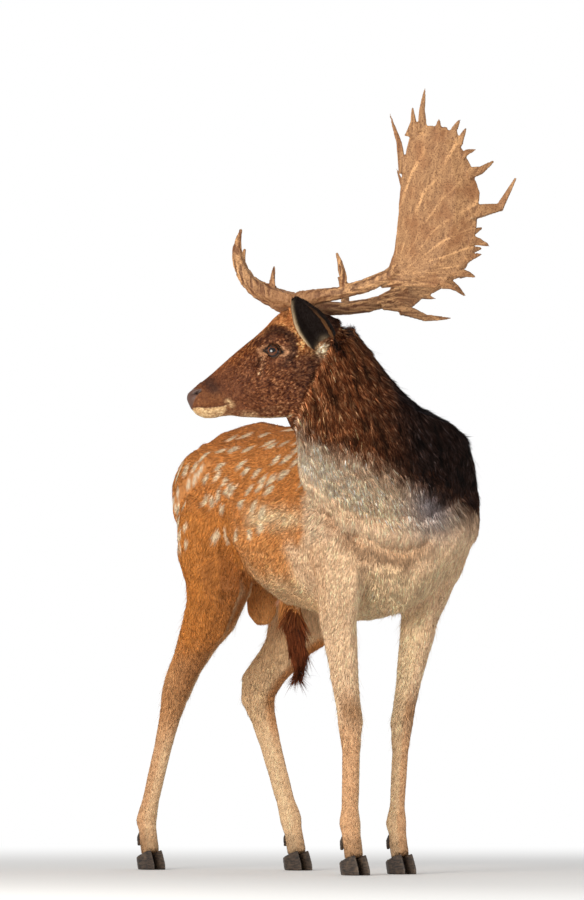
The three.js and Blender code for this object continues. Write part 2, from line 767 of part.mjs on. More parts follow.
// antlerNodes: the whole antler, parted into brow tine, beam, trez tine and palm.
function antlerNodes(hand, side) {
  const blade = joined([palmBody(hand), ...SPIKES[hand].map((spike) => spikeBody(hand, spike))]);
  const snag = antlerTube(hand, BROW_SNAG[hand], SPIKE_SIDES);
  const brow = antlerTube(hand, BROW_TINE[hand], TINE_SIDES, 2).add(snag);
  const beam = antlerTube(hand, BEAM, BEAM_SIDES);
  const whole = joined([beam, blade, brow, antlerTube(hand, TREZ_TINE, TINE_SIDES)]);
  const { back, out, up } = antlerAxes(hand);
  const wide = { across: WIDE, rise: WIDE, deep: DEEP };
  const seat = part(whole, (g) => slab(inAntler(hand, 0, 0, -BURR_DROP), up, back, wide, -g));
  const browSize = { across: BROW_CUT.wide, rise: BROW_CUT.wide, deep: BROW_CUT.deep };
  const browPlace = inAntler(hand, BROW_CUT.back, BROW_CUT.out, BROW_CUT.up);
  const first = part(seat.piece, (g) => slab(browPlace, back.clone().negate(), up, browSize, g));
  const trezSize = { across: TREZ_CUT.wide, rise: TREZ_CUT.wide, deep: TREZ_CUT.deep };
  const trezPlace = inAntler(hand, TREZ_CUT.back, TREZ_CUT.out, TREZ_CUT.up);
  const trezAim = up.clone().addScaledVector(out, TREZ_CUT.lean);
  const second = part(first.rest, (g) => slab(trezPlace, trezAim, back, trezSize, g));
  const palmPlace = inAntler(hand, PALM_CUT.back, PALM_CUT.out, PALM_CUT.up);
  const third = part(second.rest, (g) => slab(palmPlace, back, up, wide, g));
  return [
    mesh(`antler_${side}_brow_tine`, first.piece, FINISH.antler),
    mesh(`antler_${side}_trez_tine`, second.piece, FINISH.antler),
    mesh(`antler_${side}_palm`, third.piece, FINISH.antler),
    mesh(`antler_${side}_beam`, third.rest, FINISH.antler),
  ];
}

// ---- hooves -------------------------------------------------------------------------------------

// clawBody: one claw, flat on the floor, its toe forward.
function clawBody(centre) {
  const rings = CLAW_LEVELS.map(([share, scale, shift]) => {
    const points = [];
    for (let i = 0; i < CLAW_SIDES; i += 1) {
      const angle = (i / CLAW_SIDES) * Math.PI * 2;
      const ahead = Math.cos(angle);
      const reach = scale * ahead * (ahead > 0 ? CLAW.toe : CLAW.heel);
      const half = scale * CLAW.half * (1 - CLAW.taper * Math.max(ahead, 0) ** 2);
      points.push(vec(centre[0] + Math.sin(angle) * half, centre[1] + shift - reach, share * CLAW.high));
    }
    return points;
  });
  return solid(loft(rings));
}

// dewBody: a small horn behind the pastern.
function dewBody(centre, hand, grow = 0) {
  const x = centre[0] + hand * DEW.apart;
  const places = DEW_ROWS.map(([rear, high]) => vec(x, centre[1] + rear, high));
  const radii = DEW_ROWS.map(([, , share]) => DEW.radius * share + grow);
  return solid(tube(places, radii, DEW_SIDES, vec(1, 0, 0)));
}

// footNodes: claws and dew claws of one foot, and the leg cut to meet them.
function footNodes(leg, joints, name) {
  const coronet = joints[joints.length - 1];
  const aim = vec(0, -CLAW.tilt, -1);
  const crownSize = { across: CROWN_WIDE, rise: CROWN_WIDE, deep: CROWN_WIDE / 2 };
  const place = vec(coronet[0], coronet[1], CLAW.crown);
  const crown = (g) => slab(place, aim, vec(1, 0, 0), crownSize, g);
  let rest = leg.subtract(crown(GAP));
  const nodes = [];
  [[LEFT, 'left'], [RIGHT, 'right']].forEach(([hand, word]) => {
    const middle = [coronet[0] + hand * CLAW.apart, coronet[1], 0];
    nodes.push(mesh(`claw_${name}_${word}`, clawBody(middle).intersect(crown(0)), FINISH.hoof));
    rest = rest.subtract(dewBody(coronet, hand, GAP));
    nodes.push(mesh(`dewclaw_${name}_${word}`, dewBody(coronet, hand), FINISH.hoof));
  });
  return { rest, nodes };
}

// ---- the whole animal ---------------------------------------------------------------------------

const SIDES = [[LEFT, 'left'], [RIGHT, 'right']];

// legRegion: the wedge that holds one leg, outside and below a sloping plane.
function legRegion(cut, hand) {
  const tilt = radians(cut.tilt);
  const aim = vec(hand * Math.sin(tilt), 0, -Math.cos(tilt));
  const place = vec(hand * cut.x, (cut.front + cut.rear) / 2, cut.z);
  const wedge = { across: cut.rear - cut.front, rise: WIDE, deep: DEEP };
  const other = { across: 2 * WIDE, rise: 2 * WIDE, deep: DEEP };
  const middle = vec(hand * MIDLINE_GAP, 0, 0);
  return (g) => slab(place, aim, vec(0, 1, 0), wedge, g)
    .subtract(slab(middle, vec(-hand, 0, 0), vec(0, 1, 0), other, -g));
}

// legList: the four legs as bodies, with how each is cut from the trunk and parted.
function legList() {
  return SIDES.flatMap(([hand, side]) => [
    {
      hand,
      name: `foreleg_${side}`,
      foot: `fore_${side}`,
      joints: FORE_JOINTS[hand],
      body: legBody(FORE_JOINTS[hand], FORE_SECTIONS, FORE_TURN[hand], hand),
      cut: FORE_CUT,
      split: KNEE_SPLIT,
    },
    {
      hand,
      name: `hindleg_${side}`,
      foot: `hind_${side}`,
      joints: HIND_JOINTS[hand],
      body: legBody(HIND_JOINTS[hand], HIND_SECTIONS, HIND_TURN[hand], hand)
        .add(tubeBody(HAM[hand], HAM_SIDES, HAM_FLAT)),
      cut: HIND_CUT,
      split: HOCK_SPLIT,
    },
  ]);
}

// legNodes: upper leg, lower leg and foot of one leg cut from the flesh.
function legNodes(leg, flesh) {
  const whole = part(flesh, legRegion(leg.cut, leg.hand));
  const [above, below] = [leg.joints[3], leg.joints[4]].map((joint) => vec(...joint));
  const place = above.clone().lerp(below, leg.split - 3);
  const down = below.clone().sub(above);
  const region = (g) => slab(place, down, vec(1, 0, 0), SHANK_BOX, g);
  const lower = part(whole.piece, region);
  const foot = footNodes(lower.piece, leg.joints, leg.foot);
  const nodes = [
    mesh(`${leg.name}_upper`, lower.rest, FINISH.legs),
    mesh(`${leg.name}_lower`, foot.rest, FINISH.legs),
    ...foot.nodes,
  ];
  return { rest: whole.rest, nodes };
}

// earParts: the ear beyond its root, the root that stays on the skull and the seat between them.
function earParts(hand) {
  const ear = earBody(hand);
  const aim = headDirection(EAR_AIM, hand);
  const place = inHead(EAR_ROOT, hand).addScaledVector(aim, EAR_CUT);
  const region = (g) => slab(place, aim, headDirection(EAR_FACE, hand), EAR_BOX, g);
  return {
    ear: ear.intersect(region(0)),
    root: ear.subtract(region(GAP)),
    seat: earBody(hand, 2 * GAP).intersect(region(GAP)),
  };
}

// burrSeat: the space that an antler's foot takes above its pedicle.
function burrSeat(hand) {
  const { back, up } = antlerAxes(hand);
  const size = { across: BURR_SEAT, rise: BURR_SEAT, deep: BURR_SEAT };
  return slab(inAntler(hand, 0, 0, -BURR_DROP - GAP), up, back, size);
}

// hungNodes: tail, scrotum and sheath, each sitting in a socket of the body.
function hungNodes(flesh) {
  const hung = [
    ['tail', TAIL, TAIL_SIDES, TAIL_FLAT, FINISH.tail],
    ['scrotum', SCROTUM, SOFT_SIDES, 1, FINISH.belly],
    ['sheath', SHEATH, SOFT_SIDES, SHEATH_FLAT, FINISH.belly],
  ];
  const nodes = hung.map(([name, rows, sides, flat, finish]) => (
    mesh(name, tubeBody(rows, sides, flat), finish)
  ));
  const sockets = hung.map(([, rows, sides, flat]) => tubeBody(rows, sides, flat, GAP));
  return { rest: sockets.reduce((sum, socket) => sum.subtract(socket), flesh), nodes };
}

// headAndNeck: the two pieces in front of the shoulders, cut from the flesh.
function headAndNeck(flesh) {
  const wide = { across: WIDE, rise: WIDE, deep: DEEP };
  const neckRegion = (g) => slab(vec(...NECK_CUT.place), vec(...NECK_CUT.aim), vec(1, 0, 0), wide, g);
  const front = part(flesh, neckRegion);
  const place = inHead({ ahead: SKULL_CUT.ahead, out: 0, up: SKULL_CUT.up });
  const aim = headDirection({ ahead: SKULL_CUT.aimAhead, out: 0, up: SKULL_CUT.aimUp });
  const across = headDirection({ ahead: 0, out: 1, up: 0 });
  const skull = part(front.piece, (g) => slab(place, aim, across, wide, g));
  const nodes = [mesh('head', skull.piece, FINISH.head), mesh('neck', skull.rest, FINISH.neck)];
  return { rest: front.rest, nodes };
}

function buildDeer() {
  const group = new THREE.Group();
  const legs = legList();
  let flesh = joined([trunkBody(), neckBody(), headBody(), ...legs.map((leg) => leg.body)]);
  SIDES.forEach(([hand, side]) => {
    const { ear, root, seat } = earParts(hand);
    flesh = flesh.add(antlerTube(hand, PEDICLE, TINE_SIDES)).subtract(burrSeat(hand));
    flesh = flesh.subtract(seat).add(root).subtract(eyeBody(hand, GAP));
    group.add(mesh(`ear_${side}`, ear, FINISH.ear));
    group.add(mesh(`eye_${side}`, eyeBody(hand), FINISH.eye));
    group.add(...antlerNodes(hand, side));
  });
  const hung = hungNodes(flesh);
  const front = headAndNeck(hung.rest);
  group.add(...hung.nodes, ...front.nodes);
  let trunk = front.rest;
  legs.forEach((leg) => {
    const { rest, nodes } = legNodes(leg, trunk);
    trunk = rest;
    group.add(...nodes);
  });
  group.add(mesh('trunk', trunk, FINISH.coat));
  return group;
}

// centred: stands the model with the middle of its box, at the floor, on the origin.
function centred(group) {
  const box = new THREE.Box3().setFromObject(group);
  group.position.set(-(box.min.x + box.max.x) / 2, -(box.min.y + box.max.y) / 2, -box.min.z);
  return group;
}

export default centred(buildDeer());
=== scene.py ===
"""A fallow deer buck standing with its head turned to its right, as a life-size museum model.

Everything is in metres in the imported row's own frame. The buck faces -Y, its left side is +X and it stands
on the floor at z = 0. Sculpting and markings are worked out in millimetres, in two frames of its own:
the body frame, whose origin lies on the floor under the chest, and the head frame, whose origin lies
midway between the eyes.
"""

import sys
import heapq
import logging
import math
from dataclasses import dataclass, field
from enum import Enum
from typing import Callable, Iterable

import bmesh
import bpy
import numpy as np
from mathutils import Matrix, Vector
from mathutils.bvhtree import BVHTree


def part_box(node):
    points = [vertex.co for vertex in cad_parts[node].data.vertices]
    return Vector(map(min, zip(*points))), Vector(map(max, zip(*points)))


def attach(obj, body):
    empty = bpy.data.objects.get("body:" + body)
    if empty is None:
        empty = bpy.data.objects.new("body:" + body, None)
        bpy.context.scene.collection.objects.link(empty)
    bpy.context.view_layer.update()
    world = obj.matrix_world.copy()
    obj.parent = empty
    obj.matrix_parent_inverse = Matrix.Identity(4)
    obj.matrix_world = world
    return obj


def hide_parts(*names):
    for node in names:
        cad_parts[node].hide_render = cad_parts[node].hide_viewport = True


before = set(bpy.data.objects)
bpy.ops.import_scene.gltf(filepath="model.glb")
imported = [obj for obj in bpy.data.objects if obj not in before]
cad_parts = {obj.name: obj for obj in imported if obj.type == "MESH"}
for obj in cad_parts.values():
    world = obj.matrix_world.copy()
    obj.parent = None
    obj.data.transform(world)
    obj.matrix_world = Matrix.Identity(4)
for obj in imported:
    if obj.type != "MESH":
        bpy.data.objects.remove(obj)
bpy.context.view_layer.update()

log = logging.getLogger("fallow_buck")

MM = 0.001
TRUNK_REAR = 714.0


class Side(Enum):
    """The animal's own two sides."""

    LEFT = "left"
    RIGHT = "right"

    @property
    def sign(self) -> float:
        """+1 for the left side and -1 for the right."""
        return 1.0 if self is Side.LEFT else -1.0


class Region(Enum):
    """A part of the hide with its own coat."""

    TRUNK = "trunk"
    NECK = "neck"
    HEAD = "head"
    EAR = "ear"
    UPPER_LEG = "upper_leg"
    LOWER_LEG = "lower_leg"
    TAIL = "tail"
    SHEATH = "sheath"
    SCROTUM = "scrotum"


REGION_NODES: dict[Region, tuple[str, ...]] = {
    Region.TRUNK: ("trunk",),
    Region.NECK: ("neck",),
    Region.HEAD: ("head",),
    Region.EAR: ("ear_left", "ear_right"),
    Region.UPPER_LEG: ("foreleg_left_upper", "foreleg_right_upper", "hindleg_left_upper", "hindleg_right_upper"),
    Region.LOWER_LEG: ("foreleg_left_lower", "foreleg_right_lower", "hindleg_left_lower", "hindleg_right_lower"),
    Region.TAIL: ("tail",),
    Region.SHEATH: ("sheath",),
    Region.SCROTUM: ("scrotum",),
}
FLESH = [name for nodes in REGION_NODES.values() for name in nodes]

# Which way a place counts as further aside, seen from in front and a little to the animal's right.
ASIDE = (0.883, -0.469)


# ---------------------------------------------------------------- numbers


def step(low: float, high: float, value: np.ndarray) -> np.ndarray:
    """Smooth rise from 0 at low to 1 at high; low may be the larger one."""
    part = np.clip((value - low) / (high - low), 0.0, 1.0)
    return part * part * (3.0 - 2.0 * part)


def bell(value: np.ndarray, centre: float, width: float) -> np.ndarray:
    """A bell curve, 1 at the centre."""
    return np.exp(-(((value - centre) / width) ** 2))


def unit(vectors: np.ndarray) -> np.ndarray:
    """The same vectors, each of length one."""
    return vectors / np.maximum(np.linalg.norm(vectors, axis=-1, keepdims=True), 1e-12)


def dot(a: np.ndarray, b: np.ndarray) -> np.ndarray:
    """Row by row dot product."""
    return np.einsum("...i,...i->...", a, b)


def shade(red: float, green: float, blue: float) -> np.ndarray:
    """A display colour from 0 to 255 as linear light."""
    c = np.array((red, green, blue), float) / 255.0
    return np.where(c <= 0.04045, c / 12.92, ((c + 0.055) / 1.055) ** 2.4)


def cloud(points: np.ndarray, size: float, seed: int) -> np.ndarray:
    """Smooth value noise from -1 to 1.

    Args:
        points: Places, one per row.
        size: The width of a blob in the same unit.
        seed: Which noise.

    Returns:
        One value for each point.
    """
    scaled = points / size + 1000.0 + 17.3 * seed
    low = np.floor(scaled).astype(np.int64)
    part = scaled - low
    part = part * part * (3.0 - 2.0 * part)
    total = np.zeros(len(points))
    for corner in range(8):
        offset = np.array(((corner >> 2) & 1, (corner >> 1) & 1, corner & 1))
        cell = low + offset
        mixed = (cell[:, 0] * 73856093) ^ (cell[:, 1] * 19349663) ^ (cell[:, 2] * 83492791) ^ (seed * 2654435761)
        mixed = (mixed ^ (mixed >> 13)) * 1274126177 & 0xFFFFFFFF
        value = ((mixed ^ (mixed >> 16)) & 0xFFFF) / 32767.5 - 1.0
        weight = np.prod(np.where(offset, part, 1.0 - part), axis=1)
        total += value * weight
    return total


# ---------------------------------------------------------------- frames


def node_points(name: str) -> np.ndarray:
    """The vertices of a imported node, in metres."""
    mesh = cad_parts[name].data
    points = np.empty(len(mesh.vertices) * 3)
    mesh.vertices.foreach_get("co", points)
    return points.reshape(-1, 3)


@dataclass
class Axes:
    """A frame of the animal's own, measured in millimetres."""

    origin: np.ndarray
    rows: np.ndarray

    def inside(self, points: np.ndarray) -> np.ndarray:
        """Places in metres as millimetres in this frame."""
        return (points - self.origin) @ self.rows.T / MM

    def outside(self, points: np.ndarray) -> np.ndarray:
        """Places in this frame's millimetres as metres."""
        return np.asarray(points, float) * MM @ self.rows + self.origin

    def turned(self, vectors: np.ndarray) -> np.ndarray:
        """Directions of the row as directions in this frame."""
        return vectors @ self.rows.T

    def lean(self, vectors: np.ndarray) -> np.ndarray:
        """Directions in this frame as directions of the row."""
        return np.asarray(vectors, float) @ self.rows


def body_axes() -> Axes:
    """The body frame, from the sheath's middle and the trunk's rear."""
    low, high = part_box("sheath")
    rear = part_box("trunk")[1][1]
    return Axes(np.array(((low[0] + high[0]) / 2, rear - TRUNK_REAR * MM, 0.0)), np.eye(3))


def aside(body: np.ndarray) -> np.ndarray:
    """How far aside each place of the body frame lies."""
    return ASIDE[0] * body[:, 0] + ASIDE[1] * body[:, 1]


def head_axes(muzzle_drop: float = 5.38) -> Axes:
    """The head frame: ahead, left and up from the point between the eyes.

    Args:
        muzzle_drop: How far below straight ahead the end of the nose lies, in degrees.

    Returns:
        The frame, its rows ahead, left and up.
    """
    left_eye, right_eye = (np.mean([tuple(c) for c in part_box(f"eye_{s.value}")], axis=0) for s in Side)
    origin = (left_eye + right_eye) / 2
    left = unit(left_eye - right_eye)
    head = node_points("head") - origin
    reach = np.linalg.norm(head, axis=1) * (head[:, 0] < 0)
    muzzle = head[reach > reach.max() - 3 * MM].mean(axis=0)
    toward = unit(muzzle - left * (muzzle @ left))
    angle = math.radians(muzzle_drop)
    ahead = toward * math.cos(angle) + np.cross(toward, left) * math.sin(angle)
    return Axes(origin, np.array((ahead, left, np.cross(ahead, left))))


BODY = body_axes()
HEAD = head_axes()


# ---------------------------------------------------------------- meshes


def new_object(data: bpy.types.ID) -> bpy.types.Object:
    """Puts a mesh, a light or a camera into the scene as an object at the origin, under the same name."""
    piece = bpy.data.objects.new(data.name, data)
    bpy.context.scene.collection.objects.link(piece)
    return piece


def baked(work: bmesh.types.BMesh, name: str) -> bpy.types.Mesh:
    """Turns finished bmesh work into a mesh and frees it."""
    mesh = bpy.data.meshes.new(name)
    work.to_mesh(mesh)
    work.free()
    return mesh


def array_mesh(name: str, points: np.ndarray, faces: np.ndarray) -> bpy.types.Mesh:
    """Makes one mesh of many small joined shapes.

    Args:
        name: The mesh's name.
        points: Places in metres.
        faces: Corner numbers, one row per face, all rows of the same length.

    Returns:
        The mesh.
    """
    mesh = bpy.data.meshes.new(name)
    count, sides = faces.shape
    mesh.vertices.add(len(points))
    mesh.vertices.foreach_set("co", np.ascontiguousarray(points, np.float32).ravel())
    mesh.loops.add(count * sides)
    mesh.loops.foreach_set("vertex_index", np.ascontiguousarray(faces, np.int32).ravel())
    mesh.polygons.add(count)
    mesh.polygons.foreach_set("loop_start", np.arange(0, count * sides, sides, dtype=np.int32))
    mesh.update(calc_edges=True)
    mesh.validate()
    return mesh


def paint(mesh: bpy.types.Mesh, name: str, colours: np.ndarray) -> None:
    """Stores one linear colour for each vertex."""
    layer = mesh.color_attributes.new(name, "FLOAT_COLOR", "POINT")
    full = np.ones((len(colours), 4), np.float32)
    full[:, :3] = np.clip(colours, 0.0, 1.0)
    layer.data.foreach_set("color", full.ravel())


def measure(mesh: bpy.types.Mesh, name: str, values: np.ndarray) -> None:
    """Stores one number for each vertex."""
    layer = mesh.attributes.new(name, "FLOAT", "POINT")
    layer.data.foreach_set("value", np.ascontiguousarray(values, np.float32))


def point_to(mesh: bpy.types.Mesh, name: str, values: np.ndarray) -> None:
    """Stores one vector for each vertex."""
    layer = mesh.attributes.new(name, "FLOAT_VECTOR", "POINT")
    layer.data.foreach_set("vector", np.ascontiguousarray(values, np.float32).ravel())


@dataclass
class Lattice:
    """A closed surface of quads that can be smoothed and sculpted as arrays."""

    points: np.ndarray
    quads: np.ndarray
    edges: np.ndarray = field(init=False)
    valence: np.ndarray = field(init=False)

    def __post_init__(self) -> None:
        """Finds each edge once."""
        count = len(self.points)
        pairs = np.concatenate([self.quads[:, (i, (i + 1) % 4)] for i in range(4)])
        pairs.sort(axis=1)
        keys = np.unique(pairs[:, 0].astype(np.int64) * count + pairs[:, 1])
        self.edges = np.stack((keys // count, keys % count), axis=1)
        self.valence = np.maximum(np.bincount(self.edges.ravel(), minlength=count), 1).astype(float)

    def gather(self, first: np.ndarray, second: np.ndarray) -> np.ndarray:
        """Adds up one value per edge at its first vertex and another at its second."""
        a, b = self.edges.T
        return np.bincount(a, first, len(self.points)) + np.bincount(b, second, len(self.points))

    def mean(self, values: np.ndarray) -> np.ndarray:
        """The mean of each vertex's neighbours.

        Args:
            values: One value or one row for each vertex.

        Returns:
            The means, in the same shape.
        """
        columns = values.reshape(len(values), -1)
        a, b = self.edges.T
        summed = [self.gather(column[b], column[a]) for column in columns.T]
        return (np.stack(summed, axis=1) / self.valence[:, None]).reshape(values.shape)

    def blur(self, values: np.ndarray, rounds: int) -> np.ndarray:
        """Smooths values over the surface."""
        for _ in range(rounds):
            values = 0.5 * values + 0.5 * self.mean(values)
        return values

    def soften(self, rounds: int, amount: np.ndarray | float = 1.0) -> None:
        """Smooths the surface with a forward and a backward pass, which keeps its bulk."""
        share = np.broadcast_to(np.asarray(amount, float), len(self.points))[:, None]
        for _ in range(rounds):
            for push in (0.52, -0.53):
                self.points = self.points + push * share * (self.mean(self.points) - self.points)

    def normals(self) -> np.ndarray:
        """The outward normal at each vertex."""
        corners = self.points[self.quads]
        faces = np.cross(corners[:, 2] - corners[:, 0], corners[:, 3] - corners[:, 1])
        total = np.zeros_like(self.points)
        for column in range(4):
            for axis in range(3):
                total[:, axis] += np.bincount(self.quads[:, column], faces[:, axis], len(self.points))
        return unit(total)

    def push(self, heights: np.ndarray | float) -> None:
        """Moves the surface outwards by so many millimetres at each vertex."""
        self.points = self.points + self.normals() * np.reshape(heights, (-1, 1)) * MM

    def mesh(self, name: str) -> bpy.types.Mesh:
        """The surface as a mesh that is shaded smooth."""
        made = array_mesh(name, self.points, self.quads)
        made.shade_smooth()
        return made

    def areas(self) -> np.ndarray:
        """The area of each quad."""
        corners = self.points[self.quads]
        return 0.5 * np.linalg.norm(np.cross(corners[:, 2] - corners[:, 0], corners[:, 3] - corners[:, 1]), axis=1)


def merged_copy(name: str, fatten: float) -> tuple[np.ndarray, np.ndarray]:
    """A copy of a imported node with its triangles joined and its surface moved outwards.

    Args:
        name: The node.
        fatten: How far outwards, in metres.

    Returns:
        Its vertices and its triangles.
    """
    work = bmesh.new()
    work.from_mesh(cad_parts[name].data)
    bmesh.ops.remove_doubles(work, verts=work.verts[:], dist=1e-6)
    bmesh.ops.triangulate(work, faces=work.faces[:])
    bmesh.ops.recalc_face_normals(work, faces=work.faces[:])
    work.normal_update()
    work.verts.ensure_lookup_table()
    points = np.array([v.co + v.normal * fatten for v in work.verts])
    faces = np.array([[v.index for v in f.verts] for f in work.faces])
    work.free()
    return points, faces


def joined(shapes: Iterable[tuple[np.ndarray, np.ndarray]]) -> tuple[np.ndarray, np.ndarray]:
    """Several shapes as one list of vertices and one of triangles."""
    points, faces, base = [], [], 0
    for own_points, own_faces in shapes:
        points.append(own_points)
        faces.append(own_faces + base)
        base += len(own_points)
    return np.concatenate(points), np.concatenate(faces)


def voxel_lattice(
    shapes: Iterable[tuple[np.ndarray, np.ndarray]],
    cell: float,
    warp: Callable[[np.ndarray], np.ndarray] | None = None,
    unwarp: Callable[[np.ndarray], np.ndarray] | None = None,
) -> Lattice:
    """Joins closed shapes that touch into one surface of even quads.

    Args:
        shapes: Vertices and triangles of each.
        cell: The quads' size in metres, after the warp.
        warp: What to do to the places first, so that some parts get finer quads.
        unwarp: What undoes it.

    Returns:
        The joined surface.
    """
    places, faces = joined(shapes)
    rough = new_object(array_mesh("rough_form", warp(places) if warp else places, faces))
    remesh = rough.modifiers.new("voxels", "REMESH")
    remesh.mode = "VOXEL"
    remesh.voxel_size = cell
    remesh.adaptivity = 0.0
    made = rough.evaluated_get(bpy.context.evaluated_depsgraph_get()).to_mesh()
    found = np.empty(len(made.vertices) * 3)
    made.vertices.foreach_get("co", found)
    corners = np.empty(len(made.loops), np.int32)
    made.loops.foreach_get("vertex_index", corners)
    found = found.reshape(-1, 3)
    lattice = Lattice(unwarp(found) if unwarp else found, corners.reshape(-1, 4))
    bpy.data.objects.remove(rough)
    return lattice


@dataclass
class Magnifier:
    """A smooth stretch of space round the head, so that the head gets finer quads than the body."""

    factor: float = 3.6
    fade: tuple[tuple[float, float], ...] = ((-100.0, -150.0), (0.0, -60.0), (800.0, 860.0))
    reach: float = 2400.0
    tables: list[tuple[np.ndarray, np.ndarray]] = field(init=False)

    def __post_init__(self) -> None:
        """Adds up the stretch along each axis."""
        places = np.arange(-self.reach, self.reach, 1.0)
        self.tables = []
        for plain, full in self.fade:
            slope = 1.0 + (self.factor - 1.0) * step(plain, full, places)
            self.tables.append((places, np.cumsum(slope)))

    def stretch(self, points: np.ndarray) -> np.ndarray:
        """Stretches places given in metres."""
        inside = BODY.inside(points)
        return np.stack([np.interp(inside[:, i], *self.tables[i]) for i in range(3)], axis=1) * MM

    def undo(self, points: np.ndarray) -> np.ndarray:
        """Undoes the stretch."""
        inside = points / MM
        return BODY.outside(np.stack([np.interp(inside[:, i], *self.tables[i][::-1]) for i in range(3)], axis=1))


# ---------------------------------------------------------------- forms of the body


@dataclass(frozen=True)
class Swell:
    """A rounded rise (or hollow, if its height is negative) along the line from one place to another."""

    start: tuple[float, float, float]
    end: tuple[float, float, float]
    radius: float
    height: float

    def at(self, places: np.ndarray) -> np.ndarray:
        """How far the surface moves outwards at each place, in millimetres."""
        a, b = np.array(self.start), np.array(self.end)
        along = b - a
        share = np.clip((places - a) @ along / max(along @ along, 1e-9), 0.0, 1.0)
        gap = np.linalg.norm(places - a - share[:, None] * along, axis=1)
        return self.height * np.exp(-((gap / self.radius) ** 2))


def dab(x: float, y: float, z: float, radius: float, height: float) -> Swell:
    """A swell round a single place."""
    return Swell((x, y, z), (x, y, z), radius, height)


# In the head's frame, the same on both sides: ahead, out from the middle, up.
HEAD_FORMS: tuple[Swell, ...] = (
    Swell((-14, 46, 26), (16, 42, 22), 8, 3.2),
    Swell((-40, 52, -24), (20, 44, -30), 9, 2.4),
    Swell((28, 46, -2), (41, 42, -13), 3.0, -4.2),
    Swell((24, 46, -9), (44, 42, -24), 4.5, 2.0),
    Swell((30, 44, 8), (50, 40, -8), 5.0, 1.2),
    dab(60, 36, -40, 20, -2.6),
    dab(-22, 48, -62, 26, 3.0),
    Swell((6, 44, -96), (-20, 50, -60), 10, 1.6),
    dab(-34, 50, 14, 11, -2.6),
    Swell((30, 22, 30), (120, 17, 4), 12, -1.8),
    Swell((40, 0, 46), (150, 0, 18), 12, 1.6),
    dab(150, 22, -26, 13, 2.0),
    Swell((178, 13, -5), (166, 20, -6), 2.6, -5.5),
    Swell((166, 20, -6), (158, 22, -3), 2.2, -3.0),
    Swell((182, 11, 3), (162, 19, 3), 4.0, 1.6),
    Swell((180, 13, -13), (164, 21, -13), 3.6, 1.2),
    Swell((189, 3, -25), (160, 22, -40), 1.9, -2.6),
    Swell((160, 22, -40), (120, 24, -51), 2.1, -2.8),
    Swell((184, 8, -22), (140, 24, -38), 4.5, 1.2),
    Swell((182, 6, -36), (138, 20, -58), 5.5, 1.2),
    dab(117, 24, -55, 5, 1.6),
    dab(152, 8, -58, 12, 2.0),
    dab(124, 10, -70, 10, -2.4),
    Swell((189, 0, -6), (187, 0, -24), 1.8, -1.4),
    Swell((-30, 30, 62), (-60, 26, 66), 16, 2.5),
)

# In the body's frame: the crease across the breast, and where its shadow lies.
BREAST_FOLD: tuple[Swell, ...] = (
    Swell((-128, -112, 652), (-92, -150, 626), 12, -15.0),
    Swell((-92, -150, 626), (-30, -172, 618), 12, -15.0),
    Swell((-30, -172, 618), (10, -172, 642), 11, -12.0),
    Swell((-154, -64, 694), (-138, -106, 660), 10, -8.0),
)
FOLD_SHADE: tuple[Swell, ...] = (
    Swell((-152, -64, 690), (-124, -114, 640), 12, 1.0),
    Swell((-124, -114, 640), (-88, -130, 612), 16, 1.0),
    Swell((-88, -130, 612), (-30, -160, 604), 20, 1.0),
    Swell((-30, -165, 606), (10, -172, 636), 12, 1.0),
)
# Places round which the joined solids leave seams: the poll in the head's frame, the left shoulder in the body's.
POLL = (-118, 0, 20)
SHOULDER_SEAM = (138, -116, 760)

# In the body's frame, each with whether it lies on both sides.
BODY_FORMS: tuple[tuple[Swell, bool], ...] = (
    (Swell((112, 40, 850), (150, -60, 712), 40, 4.0), True),
    (Swell((150, 128, 800), (160, 118, 640), 44, -6.0), True),
    (dab(150, -92, 690, 42, 4.0), True),
    (Swell((158, 372, 730), (140, 396, 640), 56, -9.0), True),
    (dab(112, 438, 862, 34, 5.0), True),
    (Swell((156, 590, 720), (150, 560, 560), 20, -4.0), True),
    (dab(60, 690, 800, 34, 4.0), True),
    (Swell((-8, -176, 600), (-4, -150, 552), 15, -7.0), False),
    *((form, False) for form in BREAST_FOLD),
    (Swell((-122, -128, 680), (-70, -166, 652), 20, 8.0), False),
    (Swell((-70, -166, 652), (-10, -180, 650), 20, 8.0), False),
    (Swell((128, -62, 548), (124, -34, 500), 24, -10.0), False),
    (Swell((84, -196, 812), (112, -158, 792), 26, 4.0), False),
    (Swell((136, -122, 764), (148, -92, 756), 24, 9.0), False),
    (Swell((0, 120, 902), (0, 560, 906), 26, 2.0), False),
    (Swell((112, -158, 764), (130, -120, 762), 22, 8.0), False),
    (Swell((96, 20, 552), (80, 110, 560), 24, -4.0), True),
)


